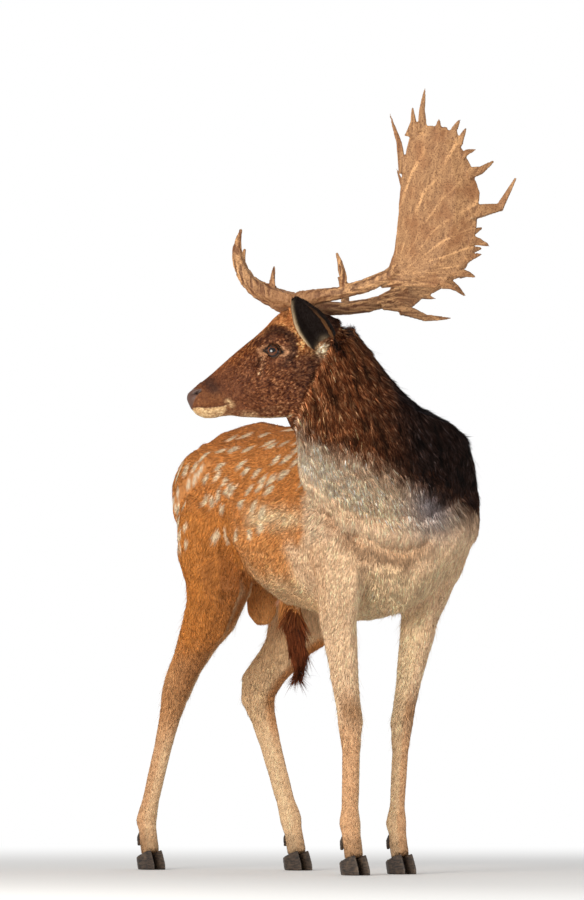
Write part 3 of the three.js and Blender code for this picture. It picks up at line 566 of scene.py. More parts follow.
@dataclass
class Hide:
    """The skin: one closed surface that stands for every node of flesh."""

    cell: float = 6.9 * MM
    fatten: float = 0.45 * MM
    seam_rounds: int = 10
    ear_rounds: int = 4
    depths: dict[Region, float] = field(
        default_factory=lambda: {
            Region.TRUNK: 5.0,
            Region.NECK: 7.0,
            Region.HEAD: 2.0,
            Region.EAR: 0.6,
            Region.UPPER_LEG: 4.5,
            Region.LOWER_LEG: 2.2,
            Region.TAIL: 9.0,
            Region.SHEATH: 11.0,
            Region.SCROTUM: 4.0,
        }
    )
    surface: Lattice = field(init=False)
    shares: dict[Region, np.ndarray] = field(init=False)
    normal: np.ndarray = field(init=False)
    lie: np.ndarray = field(init=False)

    def build(self) -> bpy.types.Object:
        """Joins the flesh, smooths and sculpts it and combs its hair.

        Returns:
            The skin.
        """
        magnifier = Magnifier()
        shapes = [merged_copy(name, self.fatten) for name in FLESH]
        self.surface = voxel_lattice(shapes, self.cell, magnifier.stretch, magnifier.undo)
        log.info("skin: %d quads", len(self.surface.quads))
        self._find_regions()
        self._smooth()
        self._sculpt()
        self.normal = self.surface.normals()
        self._comb()
        return new_object(self.surface.mesh("skin"))

    def share(self, *regions: Region) -> np.ndarray:
        """How far each vertex belongs to these regions, from 0 to 1."""
        return sum(self.shares[r] for r in regions)

    def _find_regions(self) -> None:
        """Gives each vertex the region of the node that it lies nearest to, blurred over the seams."""
        shapes = [merged_copy(name, 0.0) for name in FLESH]
        points, faces = joined(shapes)
        regions = [region for region, nodes in REGION_NODES.items() for _ in nodes]
        owner = [region for region, shape in zip(regions, shapes) for _ in shape[1]]
        tree = BVHTree.FromPolygons(points.tolist(), faces.tolist())
        nearest = [owner[tree.find_nearest(Vector(p))[2]] for p in self.surface.points]
        self.shares = {}
        for region in Region:
            owned = np.array([found is region for found in nearest], float)
            rounds = self.ear_rounds if region is Region.EAR else self.seam_rounds
            self.shares[region] = self.surface.blur(owned, rounds)

    def _smooth(self) -> None:
        """Takes away the flat faces of the solids and moves the surface in by the coat's depth."""
        head = HEAD.inside(self.surface.points)
        eye = np.linalg.norm(np.abs(head) - (0, 40, 0), axis=1)
        thin = self.share(Region.LOWER_LEG) * 0.55 + self.share(Region.EAR) * 0.75
        keep = (1.0 - thin) * step(19.0, 26.0, eye)
        self.surface.soften(16, keep)
        fine = self.share(Region.HEAD)
        self.surface.soften(30, keep * fine)
        body = BODY.inside(self.surface.points)
        self.surface.soften(60, self.share(Region.NECK) * step(-40, -100, body[:, 0]))
        seam = 4.0 * self.share(Region.NECK) * self.share(Region.HEAD)
        seam = seam + bell(np.linalg.norm(head - POLL, axis=1), 0, 60)
        self.surface.soften(60, np.clip(seam, 0, 1) * keep * (1.0 - self.share(Region.EAR)))
        crease = bell(np.linalg.norm(body - SHOULDER_SEAM, axis=1), 0, 60)
        self.surface.soften(50, np.clip(3.0 * self.share(Region.NECK) * self.share(Region.TRUNK) + crease, 0, 1))
        self.surface.soften(8, self.share(Region.EAR) * 0.5)
        depth = sum(self.shares[region] * self.depths[region] for region in Region)
        head = HEAD.inside(self.surface.points)
        depth = np.where(head[:, 0] > 150, np.minimum(depth, 0.6), depth)
        floor = BODY.inside(self.surface.points)[:, 2]
        depth *= step(24.0, 60.0, floor) * 0.7 + 0.3
        depth = self.surface.blur(depth, 6)
        self.surface.points = self.surface.points - self.surface.normals() * depth[:, None] * MM

    def _sculpt(self) -> None:
        """Adds the forms under the skin, the lids' bulge, and the folds of the neck."""
        surface = self.surface
        head_share = self.share(Region.HEAD)
        head = HEAD.inside(surface.points)
        mirrored = np.stack((head[:, 0], np.abs(head[:, 1]), head[:, 2]), axis=1)
        rise = head_share * sum(form.at(mirrored) for form in HEAD_FORMS)
        body = BODY.inside(surface.points)
        twin = np.stack((np.abs(body[:, 0]), body[:, 1], body[:, 2]), axis=1)
        trunk_share = 1.0 - head_share - self.share(Region.EAR)
        rise += trunk_share * sum(form.at(twin if both else body) for form, both in BODY_FORMS)
        rise += self.share(Region.NECK) * self._neck_folds(body)
        surface.push(rise)
        self._shape_lids()

    def _neck_folds(self, body: np.ndarray) -> np.ndarray:
        """Loose folds that run down the neck, in millimetres."""
        across = body @ np.array((*ASIDE, 0.0))
        down = body[:, 2]
        bent = np.stack((across + 0.25 * down, body[:, 1] * 0.3, down * 0.22), axis=1)
        return 2.6 * cloud(bent, 34.0, 3) + 1.3 * cloud(bent, 17.0, 4)

    def _shape_lids(self) -> None:
        """Draws the skin round each eyeball and opens it between the lids."""
        surface = self.surface
        for side in Side:
            eye = Eye(side)
            head = HEAD.inside(surface.points) - eye.centre
            gap = np.linalg.norm(head, axis=1)
            near = gap < eye.around
            way = unit(head)
            ahead, up, out = way[:, 0], way[:, 2], way[:, 1] * side.sign
            angle = np.arctan2(up, ahead)
            open_size = eye.opening(angle)
            spread = np.hypot(ahead, up) * eye.radius
            outside = step(0.92, 1.08, spread / open_size)
            lid = eye.radius + eye.lid + 0.9 * bell(spread / open_size, 1.34, 0.16) * step(-0.2, 0.5, up)
            lid = np.maximum(gap, lid - 1.2 * step(1.6, 1.05, spread / open_size))
            wanted = np.where(outside > 0.5, lid, eye.hollow)
            share = step(eye.around, 26, gap) * step(0.05, 0.3, out)
            wanted = gap + (wanted - gap) * np.where(near, share, 0.0)
            moved = HEAD.outside(way * wanted[:, None] + eye.centre)
            surface.points = np.where(near[:, None], moved, surface.points)

    def _comb(self) -> None:
        """Lays the hair's direction over the skin."""
        y = BODY.inside(self.surface.points)[:, 1]
        trunk = np.stack((0 * y, 0.9 * step(-130, 60, y), -0.55 - 0.45 * step(420, 640, y)), axis=1)
        lie = self.shares[Region.TRUNK][:, None] * unit(trunk)
        body_ways = {
            Region.NECK: (0.45, 0.22, -0.86),
            Region.UPPER_LEG: (0.0, 0.34, -0.94),
            Region.LOWER_LEG: (0.0, 0.12, -0.99),
            Region.TAIL: (0.0, 0.1, -1.0),
            Region.SHEATH: (0.0, -0.05, -1.0),
            Region.SCROTUM: (0.0, 0.2, -0.98),
        }
        for region, way in body_ways.items():
            lie += self.shares[region][:, None] * unit(np.array(way))
        head = HEAD.inside(self.surface.points)
        mirrored = np.sign(head[:, 1])
        back = np.stack((-np.ones(len(head)), 0.25 * mirrored, np.where(head[:, 2] > -40, 0.05, -0.35)), axis=1)
        lie += self.shares[Region.HEAD][:, None] * HEAD.lean(unit(back))
        ear = np.stack((-0.35 * np.ones(len(head)), 0.8 * mirrored, 0.55 * np.ones(len(head))), axis=1)
        lie += self.shares[Region.EAR][:, None] * HEAD.lean(unit(ear))
        lie = self.surface.blur(lie, 14)
        for _ in range(6):
            lie = unit(lie - self.normal * dot(lie, self.normal)[:, None])
            lie = self.surface.blur(lie, 1)
        self.lie = unit(lie - self.normal * dot(lie, self.normal)[:, None])


# ---------------------------------------------------------------- eyes


@dataclass
class Eye:
    """One eyeball with its wet rim."""

    side: Side
    radius: float = 17.0
    out: float = 40.0
    half_long: float = 15.8
    half_high: float = 6.6
    slant: float = 0.56
    shift: float = 2.4
    lid: float = 2.0
    hollow: float = 14.5
    around: float = 34.0
    cornea: float = 0.055

    @property
    def centre(self) -> np.ndarray:
        """The eyeball's middle, in the head's frame."""
        return np.array((self.shift, self.out * self.side.sign, 0.0))

    def opening(self, angle: np.ndarray) -> np.ndarray:
        """How far the opening between the lids reaches in each direction.

        Args:
            angle: The direction round the eye, from ahead upwards, in radians.

        Returns:
            The distance from the eye's axis in millimetres.
        """
        turned = angle - self.slant
        long, high = np.cos(turned) / self.half_long, np.sin(turned) / self.half_high
        oval = 1.0 / np.sqrt(long**2 + high**2)
        corner = np.abs(np.cos(turned)) ** 10
        return oval * (1.0 + 0.10 * corner)

    def build_ball(self) -> bpy.types.Object:
        """The eyeball, with its cornea standing a little proud.

        Returns:
            The eyeball.
        """
        work = bmesh.new()
        bmesh.ops.create_uvsphere(work, u_segments=48, v_segments=32, radius=self.radius)
        gaze = np.array((0.10, self.side.sign, 0.03))
        gaze /= np.linalg.norm(gaze)
        local = np.array([v.co for v in work.verts])
        height = local @ gaze / self.radius
        local *= (1.0 + self.cornea * step(0.72, 0.95, height))[:, None]
        for vertex, place in zip(work.verts, HEAD.outside(local + self.centre)):
            vertex.co = place
        bmesh.ops.recalc_face_normals(work, faces=work.faces[:])
        mesh = baked(work, f"eyeball_{self.side.value}")
        across = np.array((1.0, 0.0, 0.0)) - gaze * gaze[0]
        across /= np.linalg.norm(across)
        rise = np.cross(across, gaze) * self.side.sign
        cos, sin = math.cos(self.slant), math.sin(self.slant)
        level, tall = local @ across, local @ rise
        look = np.stack((level * cos + tall * sin, tall * cos - level * sin, local @ gaze), axis=1) / self.radius
        point_to(mesh, "look", look)
        mesh.shade_smooth()
        return new_object(mesh)

    def build_rim(self) -> bpy.types.Object:
        """The dark wet edge of the lids, a thin ring along the opening.

        Returns:
            The ring.
        """
        work = bmesh.new()
        around, across = 64, 8
        rings = []
        for i in range(around):
            angle = 2 * math.pi * i / around
            reach = float(self.opening(np.array(angle)))
            size = 0.85 + 0.2 * math.cos(2 * (angle - self.slant)) + 0.4 * math.sin(angle)
            flat = np.array((math.cos(angle), 0.0, math.sin(angle)))
            ring = []
            for j in range(across):
                turn = 2 * math.pi * j / across
                spread = reach + size * math.cos(turn)
                lift = self.radius + 0.7 + size * 0.8 * math.sin(turn)
                out = math.sqrt(max(lift**2 - spread**2, 0.0))
                place = flat * spread + np.array((0.0, out * self.side.sign, 0.0)) + self.centre
                ring.append(work.verts.new(HEAD.outside(place)))
            rings.append(ring)
        for i in range(around):
            for j in range(across):
                a, b = rings[i], rings[(i + 1) % around]
                work.faces.new((a[j], a[(j + 1) % across], b[(j + 1) % across], b[j]))
        bmesh.ops.recalc_face_normals(work, faces=work.faces[:])
        mesh = baked(work, f"eye_rim_{self.side.value}")
        mesh.shade_smooth()
        return new_object(mesh)


# ---------------------------------------------------------------- markings


class Tint(Enum):
    """The coat's colours, as they look in plain light; the neck's grey and near black and the ear's hollow also carry
    painted shade.
    """

    FLANK = (212, 138, 74)
    BACK = (182, 112, 58)
    DORSAL = (92, 54, 30)
    LOWER_FLANK = (226, 156, 92)
    CREAM = (246, 216, 174)
    WHITE = (248, 236, 216)
    SPOT = (244, 220, 186)
    SHOULDER = (240, 202, 164)
    GREY_COAT_AND_SHADE = (122, 130, 150)
    NECK = (122, 72, 43)
    MANTLE_AND_SHADE = (32, 23, 21)
    NAPE = (25, 20, 21)
    THROAT = (255, 218, 184)
    BREAST = (246, 208, 172)
    THIGH = (212, 136, 66)
    GROIN = (142, 86, 44)
    HOCK = (216, 158, 106)
    SHANK = (225, 175, 130)
    KNEE = (158, 112, 70)
    DUST = (128, 96, 66)
    FACE = (110, 62, 35)
    BRIDGE = (131, 74, 37)
    FOREHEAD = (198, 128, 74)
    CHEEK = (98, 56, 33)
    TEMPLE = (58, 32, 19)
    BROW = (72, 37, 20)
    BAND = (186, 128, 78)
    MUZZLE = (124, 74, 40)
    MUZZLE_TOP = (66, 37, 24)
    CHIN = (214, 174, 126)
    RING = (196, 142, 102)
    LID = (24, 15, 13)
    NOSE = (94, 68, 58)
    NOSTRIL = (30, 17, 13)
    LIP = (88, 46, 28)
    EAR = (104, 76, 58)
    EAR_HOLLOW_AND_SHADE = (26, 17, 14)
    TEAR = (62, 26, 20)
    BRUSH = (122, 64, 36)
    BELLY_SKIN = (206, 140, 118)

    @property
    def linear(self) -> np.ndarray:
        """The colour as linear light."""
        return shade(*self.value)

    def plain(self, places: np.ndarray) -> np.ndarray:
        """A coat of this colour alone, one row for each place."""
        return np.tile(self.linear, (len(places), 1))


def lay(base: np.ndarray, colour: "Tint | np.ndarray", mask: np.ndarray) -> np.ndarray:
    """Lays a colour over a coat where the mask is 1."""
    over = colour.linear if isinstance(colour, Tint) else colour
    return base + np.clip(mask, 0.0, 1.0)[:, None] * (over - base)


def layered(base: np.ndarray, *layers: "tuple[Tint, np.ndarray]") -> np.ndarray:
    """Lays several colours over a coat, each where its own mask is 1."""
    for tint, mask in layers:
        base = lay(base, tint, mask)
    return base


@dataclass
class Sites:
    """Places on the skin, and what the markings need to know about them."""

    points: np.ndarray
    normals: np.ndarray
    share: dict[Region, np.ndarray]
    body: np.ndarray = field(init=False)
    head: np.ndarray = field(init=False)
    facing: np.ndarray = field(init=False)
    wobble: np.ndarray = field(init=False)
    fine: np.ndarray = field(init=False)
    speck: np.ndarray = field(init=False)
    tick: np.ndarray = field(init=False)

    def __post_init__(self) -> None:
        """Works out both frames and four sizes of noise."""
        self.body = BODY.inside(self.points)
        self.head = HEAD.inside(self.points)
        self.facing = HEAD.turned(self.normals)
        self.facing[:, 1] *= np.sign(self.head[:, 1])
        self.head[:, 1] = np.abs(self.head[:, 1])
        self.wobble = cloud(self.body, 26.0, 11)
        self.fine = cloud(self.body, 8.0, 12)
        self.speck = cloud(self.body, 3.4, 13)
        self.tick = cloud(self.body, 2.3, 14)

    def along(self, start: tuple[float, float, float], end: tuple[float, float, float], radius: float) -> np.ndarray:
        """A soft line between two places of the head, the same on both sides."""
        return Swell(start, end, radius, 1.0).at(self.head)


@dataclass
class Markings:
    """Where each colour of the coat lies, worked out from places on the body."""

    hide: Hide
    heights: tuple[float, float, float] = (880.0, 640.0, -31.0)
    pitch: float = 44.0
    spots: np.ndarray = field(init=False)
    ways: np.ndarray = field(init=False)
    sizes: np.ndarray = field(init=False)

    def __post_init__(self) -> None:
        """Sets out the white spots in uneven rows along the back and flanks."""
        chance = np.random.default_rng(7)
        places = BODY.inside(self.hide.surface.points)
        facing = self.hide.normal
        trunk = self.hide.share(Region.TRUNK, Region.UPPER_LEG)
        found, ways, sizes = [], [], []
        for side in Side:
            for row, height in enumerate(np.arange(*self.heights)):
                first, last = (40, 650) if row < 4 else (150 + 24 * (row - 4), 640)
                for along in np.arange(first + 0.5 * self.pitch * (row % 2), last, self.pitch):
                    y = along + chance.uniform(-14, 14)
                    z = height + chance.uniform(-11, 11) - 0.00035 * (along - 330) ** 2
                    keep = chance.uniform() < (0.78 if row < 6 else 0.5)
                    gap = np.abs(places[:, 1] - y) + np.abs(places[:, 2] - z) * (1.6 if row else 3.0)
                    gap += 500.0 * ((places[:, 0] * side.sign < 16) | (trunk < 0.5))
                    nearest = int(np.argmin(gap))
                    if keep and gap[nearest] < 24:
                        way = np.array((0.0, -0.66, 0.75)) + chance.normal(0, 0.12, 3)
                        way -= facing[nearest] * (way @ facing[nearest])
                        found.append(places[nearest])
                        ways.append(unit(way))
                        sizes.append((chance.uniform(12.0, 18.0), chance.uniform(8.0, 11.5)))
        self.spots, self.ways, self.sizes = (np.array(a) for a in (found, ways, sizes))

    def _spotting(self, at: Sites) -> np.ndarray:
        """How far each place lies within a white spot, with frayed edges."""
        nearest = np.full(len(at.body), 9.0)
        for spot, way, (long, wide) in zip(self.spots, self.ways, self.sizes):
            near = np.flatnonzero(np.abs(at.body - spot).max(axis=1) < 32)
            if len(near):
                gap = at.body[near] - spot
                along = gap @ way
                across = np.linalg.norm(gap - along[:, None] * way, axis=1)
                nearest[near] = np.minimum(nearest[near], np.hypot(along / long, across / wide))
        return step(1.32, 0.55, nearest + 0.22 * at.fine + 0.34 * at.speck)

    def colour(self, points: np.ndarray, normals: np.ndarray, share: dict[Region, np.ndarray]) -> np.ndarray:
        """The coat's colour at places on the skin.

        Args:
            points: Places in metres.
            normals: Outward normals.
            share: How far each place belongs to each region.

        Returns:
            Linear colours, one row for each place.
        """
        at = Sites(points, normals, share)
        coat = self._body(at)
        x, y, z = at.body.T
        coat = lay(coat, self._legs(at), share[Region.UPPER_LEG] * step(0, 40, np.abs(x)) + share[Region.LOWER_LEG])
        coat = self._rump(coat, at)
        coat = self._spots_and_line(coat, at)
        front = np.clip(share[Region.NECK] * 1.3, 0.0, 1.0)
        front = front + share[Region.TRUNK] * step(56, -6, y + 12 * at.fine) * step(560, 660, z)
        coat = lay(coat, self._mantle(at), front + share[Region.HEAD] + share[Region.EAR])
        coat = lay(coat, self._face(at), step(0.12, 0.62, share[Region.HEAD] + 0.14 * at.fine))
        coat = lay(coat, self._ears(at), step(0.3, 0.7, share[Region.EAR]))
        shadow = np.clip(sum(form.at(at.body) for form in FOLD_SHADE), 0.0, 1.0)
        breast = share[Region.NECK] + share[Region.TRUNK] + share[Region.UPPER_LEG]
        coat = lay(coat, Tint.HOCK.linear * 0.42, 0.5 * shadow * np.clip(breast, 0, 1))
        return coat * self._speckle(at)

    def _speckle(self, at: Sites) -> np.ndarray:
        """The ticking of the hair, coarse on the neck and jaw, light on the body."""
        x, z = at.head[:, 0], at.head[:, 2]
        dark = step(-30, 30, at.body[:, 2] + 0.45 * aside(at.body) - 772)
        amount = 0.34 + at.share[Region.NECK] * (0.2 + 1.7 * dark)
        plain = self.nose(at.head) + step(1.9, 1.5, self.lids(at.head)) * step(28, 34, at.head[:, 1])
        amount += at.share[Region.HEAD] * (0.4 + 1.4 * step(130, 20, x)) * (1.0 - 0.6 * step(24, 50, z - 0.3 * x))
        amount *= 1.0 - np.clip(plain * at.share[Region.HEAD] + 0.9 * at.share[Region.EAR], 0.0, 1.0)
        grain = 0.75 * at.tick + 0.45 * at.speck
        deep = np.clip(at.share[Region.NECK] * dark + at.share[Region.HEAD], 0.0, 1.0)
        warmth = 1.0 + deep[:, None] * np.array(((-0.15, 0.12, 0.3),))
        return np.exp((amount * (grain - 0.06 * deep))[:, None] * warmth)

    @staticmethod
    def lids(head: np.ndarray) -> np.ndarray:
        """How far from the eye's middle each place lies, 1 at the edge of the lids."""
        eye = Eye(Side.LEFT)
        x, z = head[:, 0] - eye.shift, head[:, 2]
        return np.hypot(x, z) / eye.opening(np.arctan2(z, x))

    def _body(self, at: Sites) -> np.ndarray:
        """Back, flank, shoulder, chest and belly."""
        x, y, z = at.body.T
        coat = Tint.FLANK.plain(x)
        coat = layered(
            coat,
            (Tint.BACK, 0.85 * step(800, 890, z + 14 * at.wobble)),
            (Tint.LOWER_FLANK, 0.9 * step(730, 600, z + 16 * at.wobble) * step(470, 300, y)),
            (Tint.GROIN, 0.75 * bell(y, 410, 62) * bell(z, 590, 60)),
            (Tint.CREAM, 0.8 * bell(y, 96, 54) * bell(z + 8 * at.wobble, 566, 30)),
        )
        edge = y + 12 * at.wobble + 8 * at.speck + 0.10 * (z - 650)
        coat = lay(coat, Tint.SHOULDER, step(60, 10, edge) * step(960, 820, z))
        belly = step(-0.35, -0.8, at.normals[:, 2] + 0.12 * at.wobble) * step(660, 600, z)
        coat = layered(
            coat,
            (Tint.CREAM, 0.55 * belly),
            (Tint.BELLY_SKIN, 0.8 * bell(y, 385, 30) * step(26, 14, np.abs(x)) * step(-0.3, -0.7, at.normals[:, 2])),
        )
        dorsal = step(11, 5, np.abs(x) + 4 * at.fine) * step(0.8, 0.95, at.normals[:, 2]) * step(200, 320, y)
        return lay(coat, Tint.DORSAL, 0.6 * dorsal * step(820, 860, z))

    def _rump(self, coat: np.ndarray, at: Sites) -> np.ndarray:
        """The white patch beside the tail with its dark edge, the tail and the parts between the hind legs."""
        x, y, z = at.body.T
        patch = np.hypot(x / 62, (z - 742) / 104) + 0.06 * at.wobble + 0.05 * at.speck
        rear = step(0.35, 0.6, at.normals[:, 1]) * step(590, 650, y)
        coat = layered(
            coat,
            (Tint.DORSAL, 0.9 * rear * step(1.26, 1.12, patch) * step(0.98, 1.08, patch)),
            (Tint.WHITE, rear * step(1.08, 0.96, patch)),
        )
        tail = at.share[Region.TAIL]
        coat = lay(coat, Tint.WHITE, tail)
        upper = step(0.1, 0.5, at.normals[:, 1] + 0.3 * at.normals[:, 2] + 0.1 * at.fine)
        coat = layered(
            coat,
            (Tint.NAPE, tail * upper * step(15, 9, np.abs(x))),
            (Tint.LOWER_FLANK, at.share[Region.SCROTUM]),
        )
        streak = cloud(at.body * (1.0, 1.0, 0.08), 3.2, 14)
        brush = lay(Tint.BRUSH.plain(x), Tint.NAPE.linear, 0.8 * step(0.1, 0.7, streak + 0.2 * at.fine))
        return lay(coat, brush, at.share[Region.SHEATH] * step(525, 505, z))

    def _legs(self, at: Sites) -> np.ndarray:
        """The legs, paler downwards and inside."""
        x, y, z = at.body.T
        normals = at.normals
        fore = y < 200
        coat = np.where(fore[:, None], Tint.SHOULDER.linear, Tint.THIGH.linear)
        front = step(0.25, -0.6, normals[:, 1] + 0.15 * at.wobble)
        coat = layered(
            coat,
            (Tint.GROIN, (~fore) * 0.85 * front * bell(z, 560, 110)),
            (Tint.HOCK, (~fore) * step(470, 380, z + 12 * at.wobble)),
            (Tint.CREAM, (~fore) * 0.7 * step(0.2, 0.75, normals[:, 1] + 0.1 * at.fine) * bell(z, 450, 60)),
            (Tint.GROIN, (~fore) * 0.6 * front * bell(z, 400, 60)),
            (Tint.DUST, (~fore) * 0.45 * front * bell(z, 330, 46) * (0.7 + 0.4 * at.fine)),
            (Tint.SHANK, step(330, 240, z + 8 * at.wobble)),
            (Tint.KNEE, fore * 0.75 * bell(z + 8 * at.fine, 318, 34) * step(0.1, -0.7, normals[:, 1])),
            (Tint.CREAM, step(0.25, 0.75, -normals[:, 0] * np.sign(x)) * 0.55 * step(640, 560, z)),
            (Tint.FLANK, fore * 0.35 * step(420, 560, z) * step(-0.3, 0.5, normals[:, 1])),
            (Tint.CREAM, (~fore) * step(-0.3, -0.8, normals[:, 1]) * 0.4 * step(300, 230, z)),
        )
        return lay(coat, Tint.DUST, 0.55 * step(92, 44, z + 10 * at.fine))

    def _spots_and_line(self, coat: np.ndarray, at: Sites) -> np.ndarray:
        """White spots, and the pale patch that runs along the lower flank."""
        y, z = at.body[:, 1], at.body[:, 2]
        line = bell(z, 696 + 0.06 * (y - 150) + 7 * at.wobble, 22)
        line = line * step(20, 70, y) * step(300, 200, y + 30 * at.wobble)
        coat = lay(coat, Tint.CREAM, 0.85 * line * (0.8 + 0.3 * at.fine))
        return lay(coat, Tint.SPOT, 0.84 * self._spotting(at) * step(600, 660, z))

    def _mantle(self, at: Sites) -> np.ndarray:
        """The dark upper neck and withers over the cream throat, parted by a speckled edge; towards the animal's left
        side the dark deepens and a grey patch lies low, both partly painted shade.
        """
        x, _, z = at.body.T
        across = aside(at.body)
        level = np.minimum(z + 0.45 * across - 772, z + 1.05 * across - 690)
        level = level + 15 * at.wobble + 14 * at.fine + 20 * at.speck
        pale = Tint.BREAST.plain(x)
        pale = layered(
            pale,
            (Tint.THROAT, step(20, -70, across) * step(700, 790, z)),
            # Grey patch low on the animal's left side: partly grey coat, partly painted bluish shade.
            (Tint.GREY_COAT_AND_SHADE, 0.75 * bell(across, 98, 52) * bell(z, 716, 60)),
            (Tint.SHOULDER, step(660, 600, z)),
        )
        dark = Tint.NECK.plain(x)
        # Near black towards the animal's left side: partly dark coat, partly painted shade on the side turned from
        # the light.
        dark = lay(dark, Tint.MANTLE_AND_SHADE, step(-60, 70, across + 16 * at.wobble) * 0.95)
        skyline = step(0.15, 0.75, at.normals[:, 2] + 0.4 * at.normals[:, 1] + 0.35 * at.normals[:, 0])
        dark = layered(
            dark,
            (Tint.NAPE, skyline * 0.8),
            (Tint.FACE, 0.8 * step(0.5, -0.2, at.fine + 0.7 * at.speck) * step(20, -60, level - 40)),
        )
        return lay(pale, dark, step(-40, 32, level))

    def _face(self, at: Sites) -> np.ndarray:
        """The head's colours."""
        x, y, z = at.head.T
        rough = 5 * at.fine + 3 * at.speck
        coat = Tint.FACE.plain(x)
        coat = layered(
            coat,
            (Tint.BRIDGE, step(6, 26, z + rough) * step(10, 50, x)),
            (Tint.CHEEK, step(20, -30, x) * step(10, -40, z)),
        )
        ring = np.hypot(x - 2, z - 4) + 0.6 * rough
        coat = layered(
            coat,
            (Tint.BROW, 0.7 * np.exp(-(((x + 2) / 30) ** 2) - ((z - 30) / 12) ** 2)),
            (Tint.FOREHEAD, step(36, 56, z + 0.25 * x + rough) * step(40, -16, x)),
            (Tint.FOREHEAD, 0.92 * step(47, 55, ring) * step(6, -18, x) * step(-40, -14, z) * step(-96, -80, x)),
            (Tint.TEMPLE, 0.85 * bell(ring, 40, 8) * step(14, -14, x) * step(-46, -26, z)),
            (Tint.BAND, 0.7 * at.along((-60, 50, 10), (-66, 52, -30), 11)),
            (Tint.CREAM, 0.8 * at.along((-84, 48, -36), (-90, 48, -46), 11)),
            (Tint.MUZZLE, step(108, 152, x + rough) * step(-12, -24, z)),
            (Tint.MUZZLE, 0.7 * step(140, 160, x) * step(10, 20, y)),
            (Tint.MUZZLE_TOP, 0.9 * at.along((138, 10, 6), (134, 24, -12), 13)),
        )
        lip = np.interp(x, (112, 120, 133, 160, 180, 190), (-52, -50, -49, -40, -29, -24))
        back = 120 + 0.9 * np.clip(lip - z, 0, 30) + rough
        coat = layered(
            coat,
            (Tint.CHIN, step(back, back + 9, x) * step(1.0, -2.5, z - lip)),
            (Tint.CHIN, 0.95 * at.along((121, 24, -47), (117, 22, -57), 5.0)),
            (Tint.CHIN, 0.7 * at.along((114, 12, -79), (84, 10, -90), 4.5)),
            (Tint.CHIN, 0.5 * step(0.55, 0.95, -at.facing[:, 2]) * step(-58, -70, z) * step(-20, 60, x)),
            (Tint.LIP, 0.85 * np.exp(-(((z - lip) / 1.5) ** 2)) * step(114, 122, x)),
        )
        gap = self.lids(at.head)
        coat = layered(
            coat,
            (Tint.RING, bell(gap, 1.52, 0.3) * (0.95 - 0.3 * step(-4, 14, z)) * step(28, 34, y)),
            (Tint.RING, 0.75 * at.along((19, 48, 3), (34, 43, -6), 5.0)),
            (Tint.RING, 0.8 * at.along((30, 44, -15), (46, 41, -26), 3.2)),
            (Tint.TEAR, 1.3 * at.along((28, 46, -2), (41, 42, -13), 2.6)),
            (Tint.NAPE, 0.75 * step(-84, -112, x + rough) * step(-30, 20, z)),
            (Tint.NOSE, self.nose(at.head)),
            (Tint.NOSTRIL, 1.2 * at.along((177, 14, -5), (161, 21, -5), 3.2)),
        )
        return lay(coat, Tint.LID, step(1.26, 1.12, gap) * step(28, 34, y))

    @staticmethod
    def nose(head: np.ndarray) -> np.ndarray:
        """How far each place of the head lies on the bare nose pad."""
        x, y, z = head[:, 0], np.abs(head[:, 1]), head[:, 2]
        back = 170 - 15 * bell(z, -3, 6) * step(4, 12, y) + 1.0 * np.clip(-9 - z, 0, 16) + 0.2 * np.clip(z, 0, 9)
        return step(back - 1.5, back + 2.0, x) * step(-27, -22, z) * step(14, 6, z)

    def _ears(self, at: Sites) -> np.ndarray:
        """Ears, brown outside, near black within (partly dark skin, partly painted shade) and pale along the front
        rim.
        """
        hollow = dot(at.facing, unit(np.array((0.34, 0.78, -0.5))))
        rim = dot(at.facing, unit(np.array((0.87, -0.345, 0.055))))
        coat = Tint.EAR.plain(hollow)
        coat = layered(
            coat,
            # Near black inside the ear: partly dark skin, partly painted shade of the hollow.
            (Tint.EAR_HOLLOW_AND_SHADE, step(-0.15, 0.15, hollow)),
            (Tint.NAPE, 0.8 * step(0.05, 0.35, -hollow)),
            (Tint.BAND, 0.4 * step(0.66, 0.92, rim)),
        )
        front = at.along((-64, 121, 50), (-53, 86, 11), 4.2) + at.along((-53, 86, 11), (-60, 64, -26), 4.2)
        coat = lay(coat, Tint.CREAM, np.clip(0.9 * front, 0, 0.75))
        return lay(coat, Tint.CREAM, 0.8 * at.along((-82, 50, -38), (-92, 58, -30), 9))


# ---------------------------------------------------------------- coat


@dataclass(frozen=True)
class Growth:
    """The hair of one region: how many tufts, and their sizes in millimetres."""

    region: Region
    name: str
    slot: str
    tufts: int
    length: float
    width: float
    lift: float
    bends: int = 1
    deepen: float = 0.70
    spread: float = 0.12
    tone: float = 0.13


GROWTHS: tuple[Growth, ...] = (
    Growth(Region.TRUNK, "coat_trunk", "coat_fur", 101000, 15, 1.8, 0.09, deepen=0.84, tone=0.22),
    Growth(Region.NECK, "coat_neck", "neck_fur", 78000, 17, 1.8, 0.15, deepen=0.86, spread=0.2, tone=0.46),
    Growth(Region.UPPER_LEG, "coat_thighs", "leg_fur", 61000, 13, 1.7, 0.09, deepen=0.82, tone=0.22),
    Growth(Region.LOWER_LEG, "coat_shanks", "leg_fur", 26000, 7.5, 1.3, 0.08, deepen=0.8, tone=0.20),
    Growth(Region.HEAD, "coat_head", "head_fur", 49000, 5.6, 1.1, 0.10, deepen=0.72, tone=0.42),
    Growth(Region.EAR, "coat_ears", "ear_fur", 10500, 6.5, 1.1, 0.09),
    Growth(Region.TAIL, "coat_tail", "tail_fur", 4200, 46, 2.4, 0.16, bends=2, spread=0.2),
    Growth(Region.SHEATH, "coat_sheath", "pale_fur", 2600, 46, 1.7, 0.10, bends=2, spread=0.10, tone=0.25),
    Growth(Region.SCROTUM, "coat_scrotum", "pale_fur", 2200, 11, 1.7, 0.10),
)
TRIANGLES_PER_PIECE = 196000
PATCH = 0.003


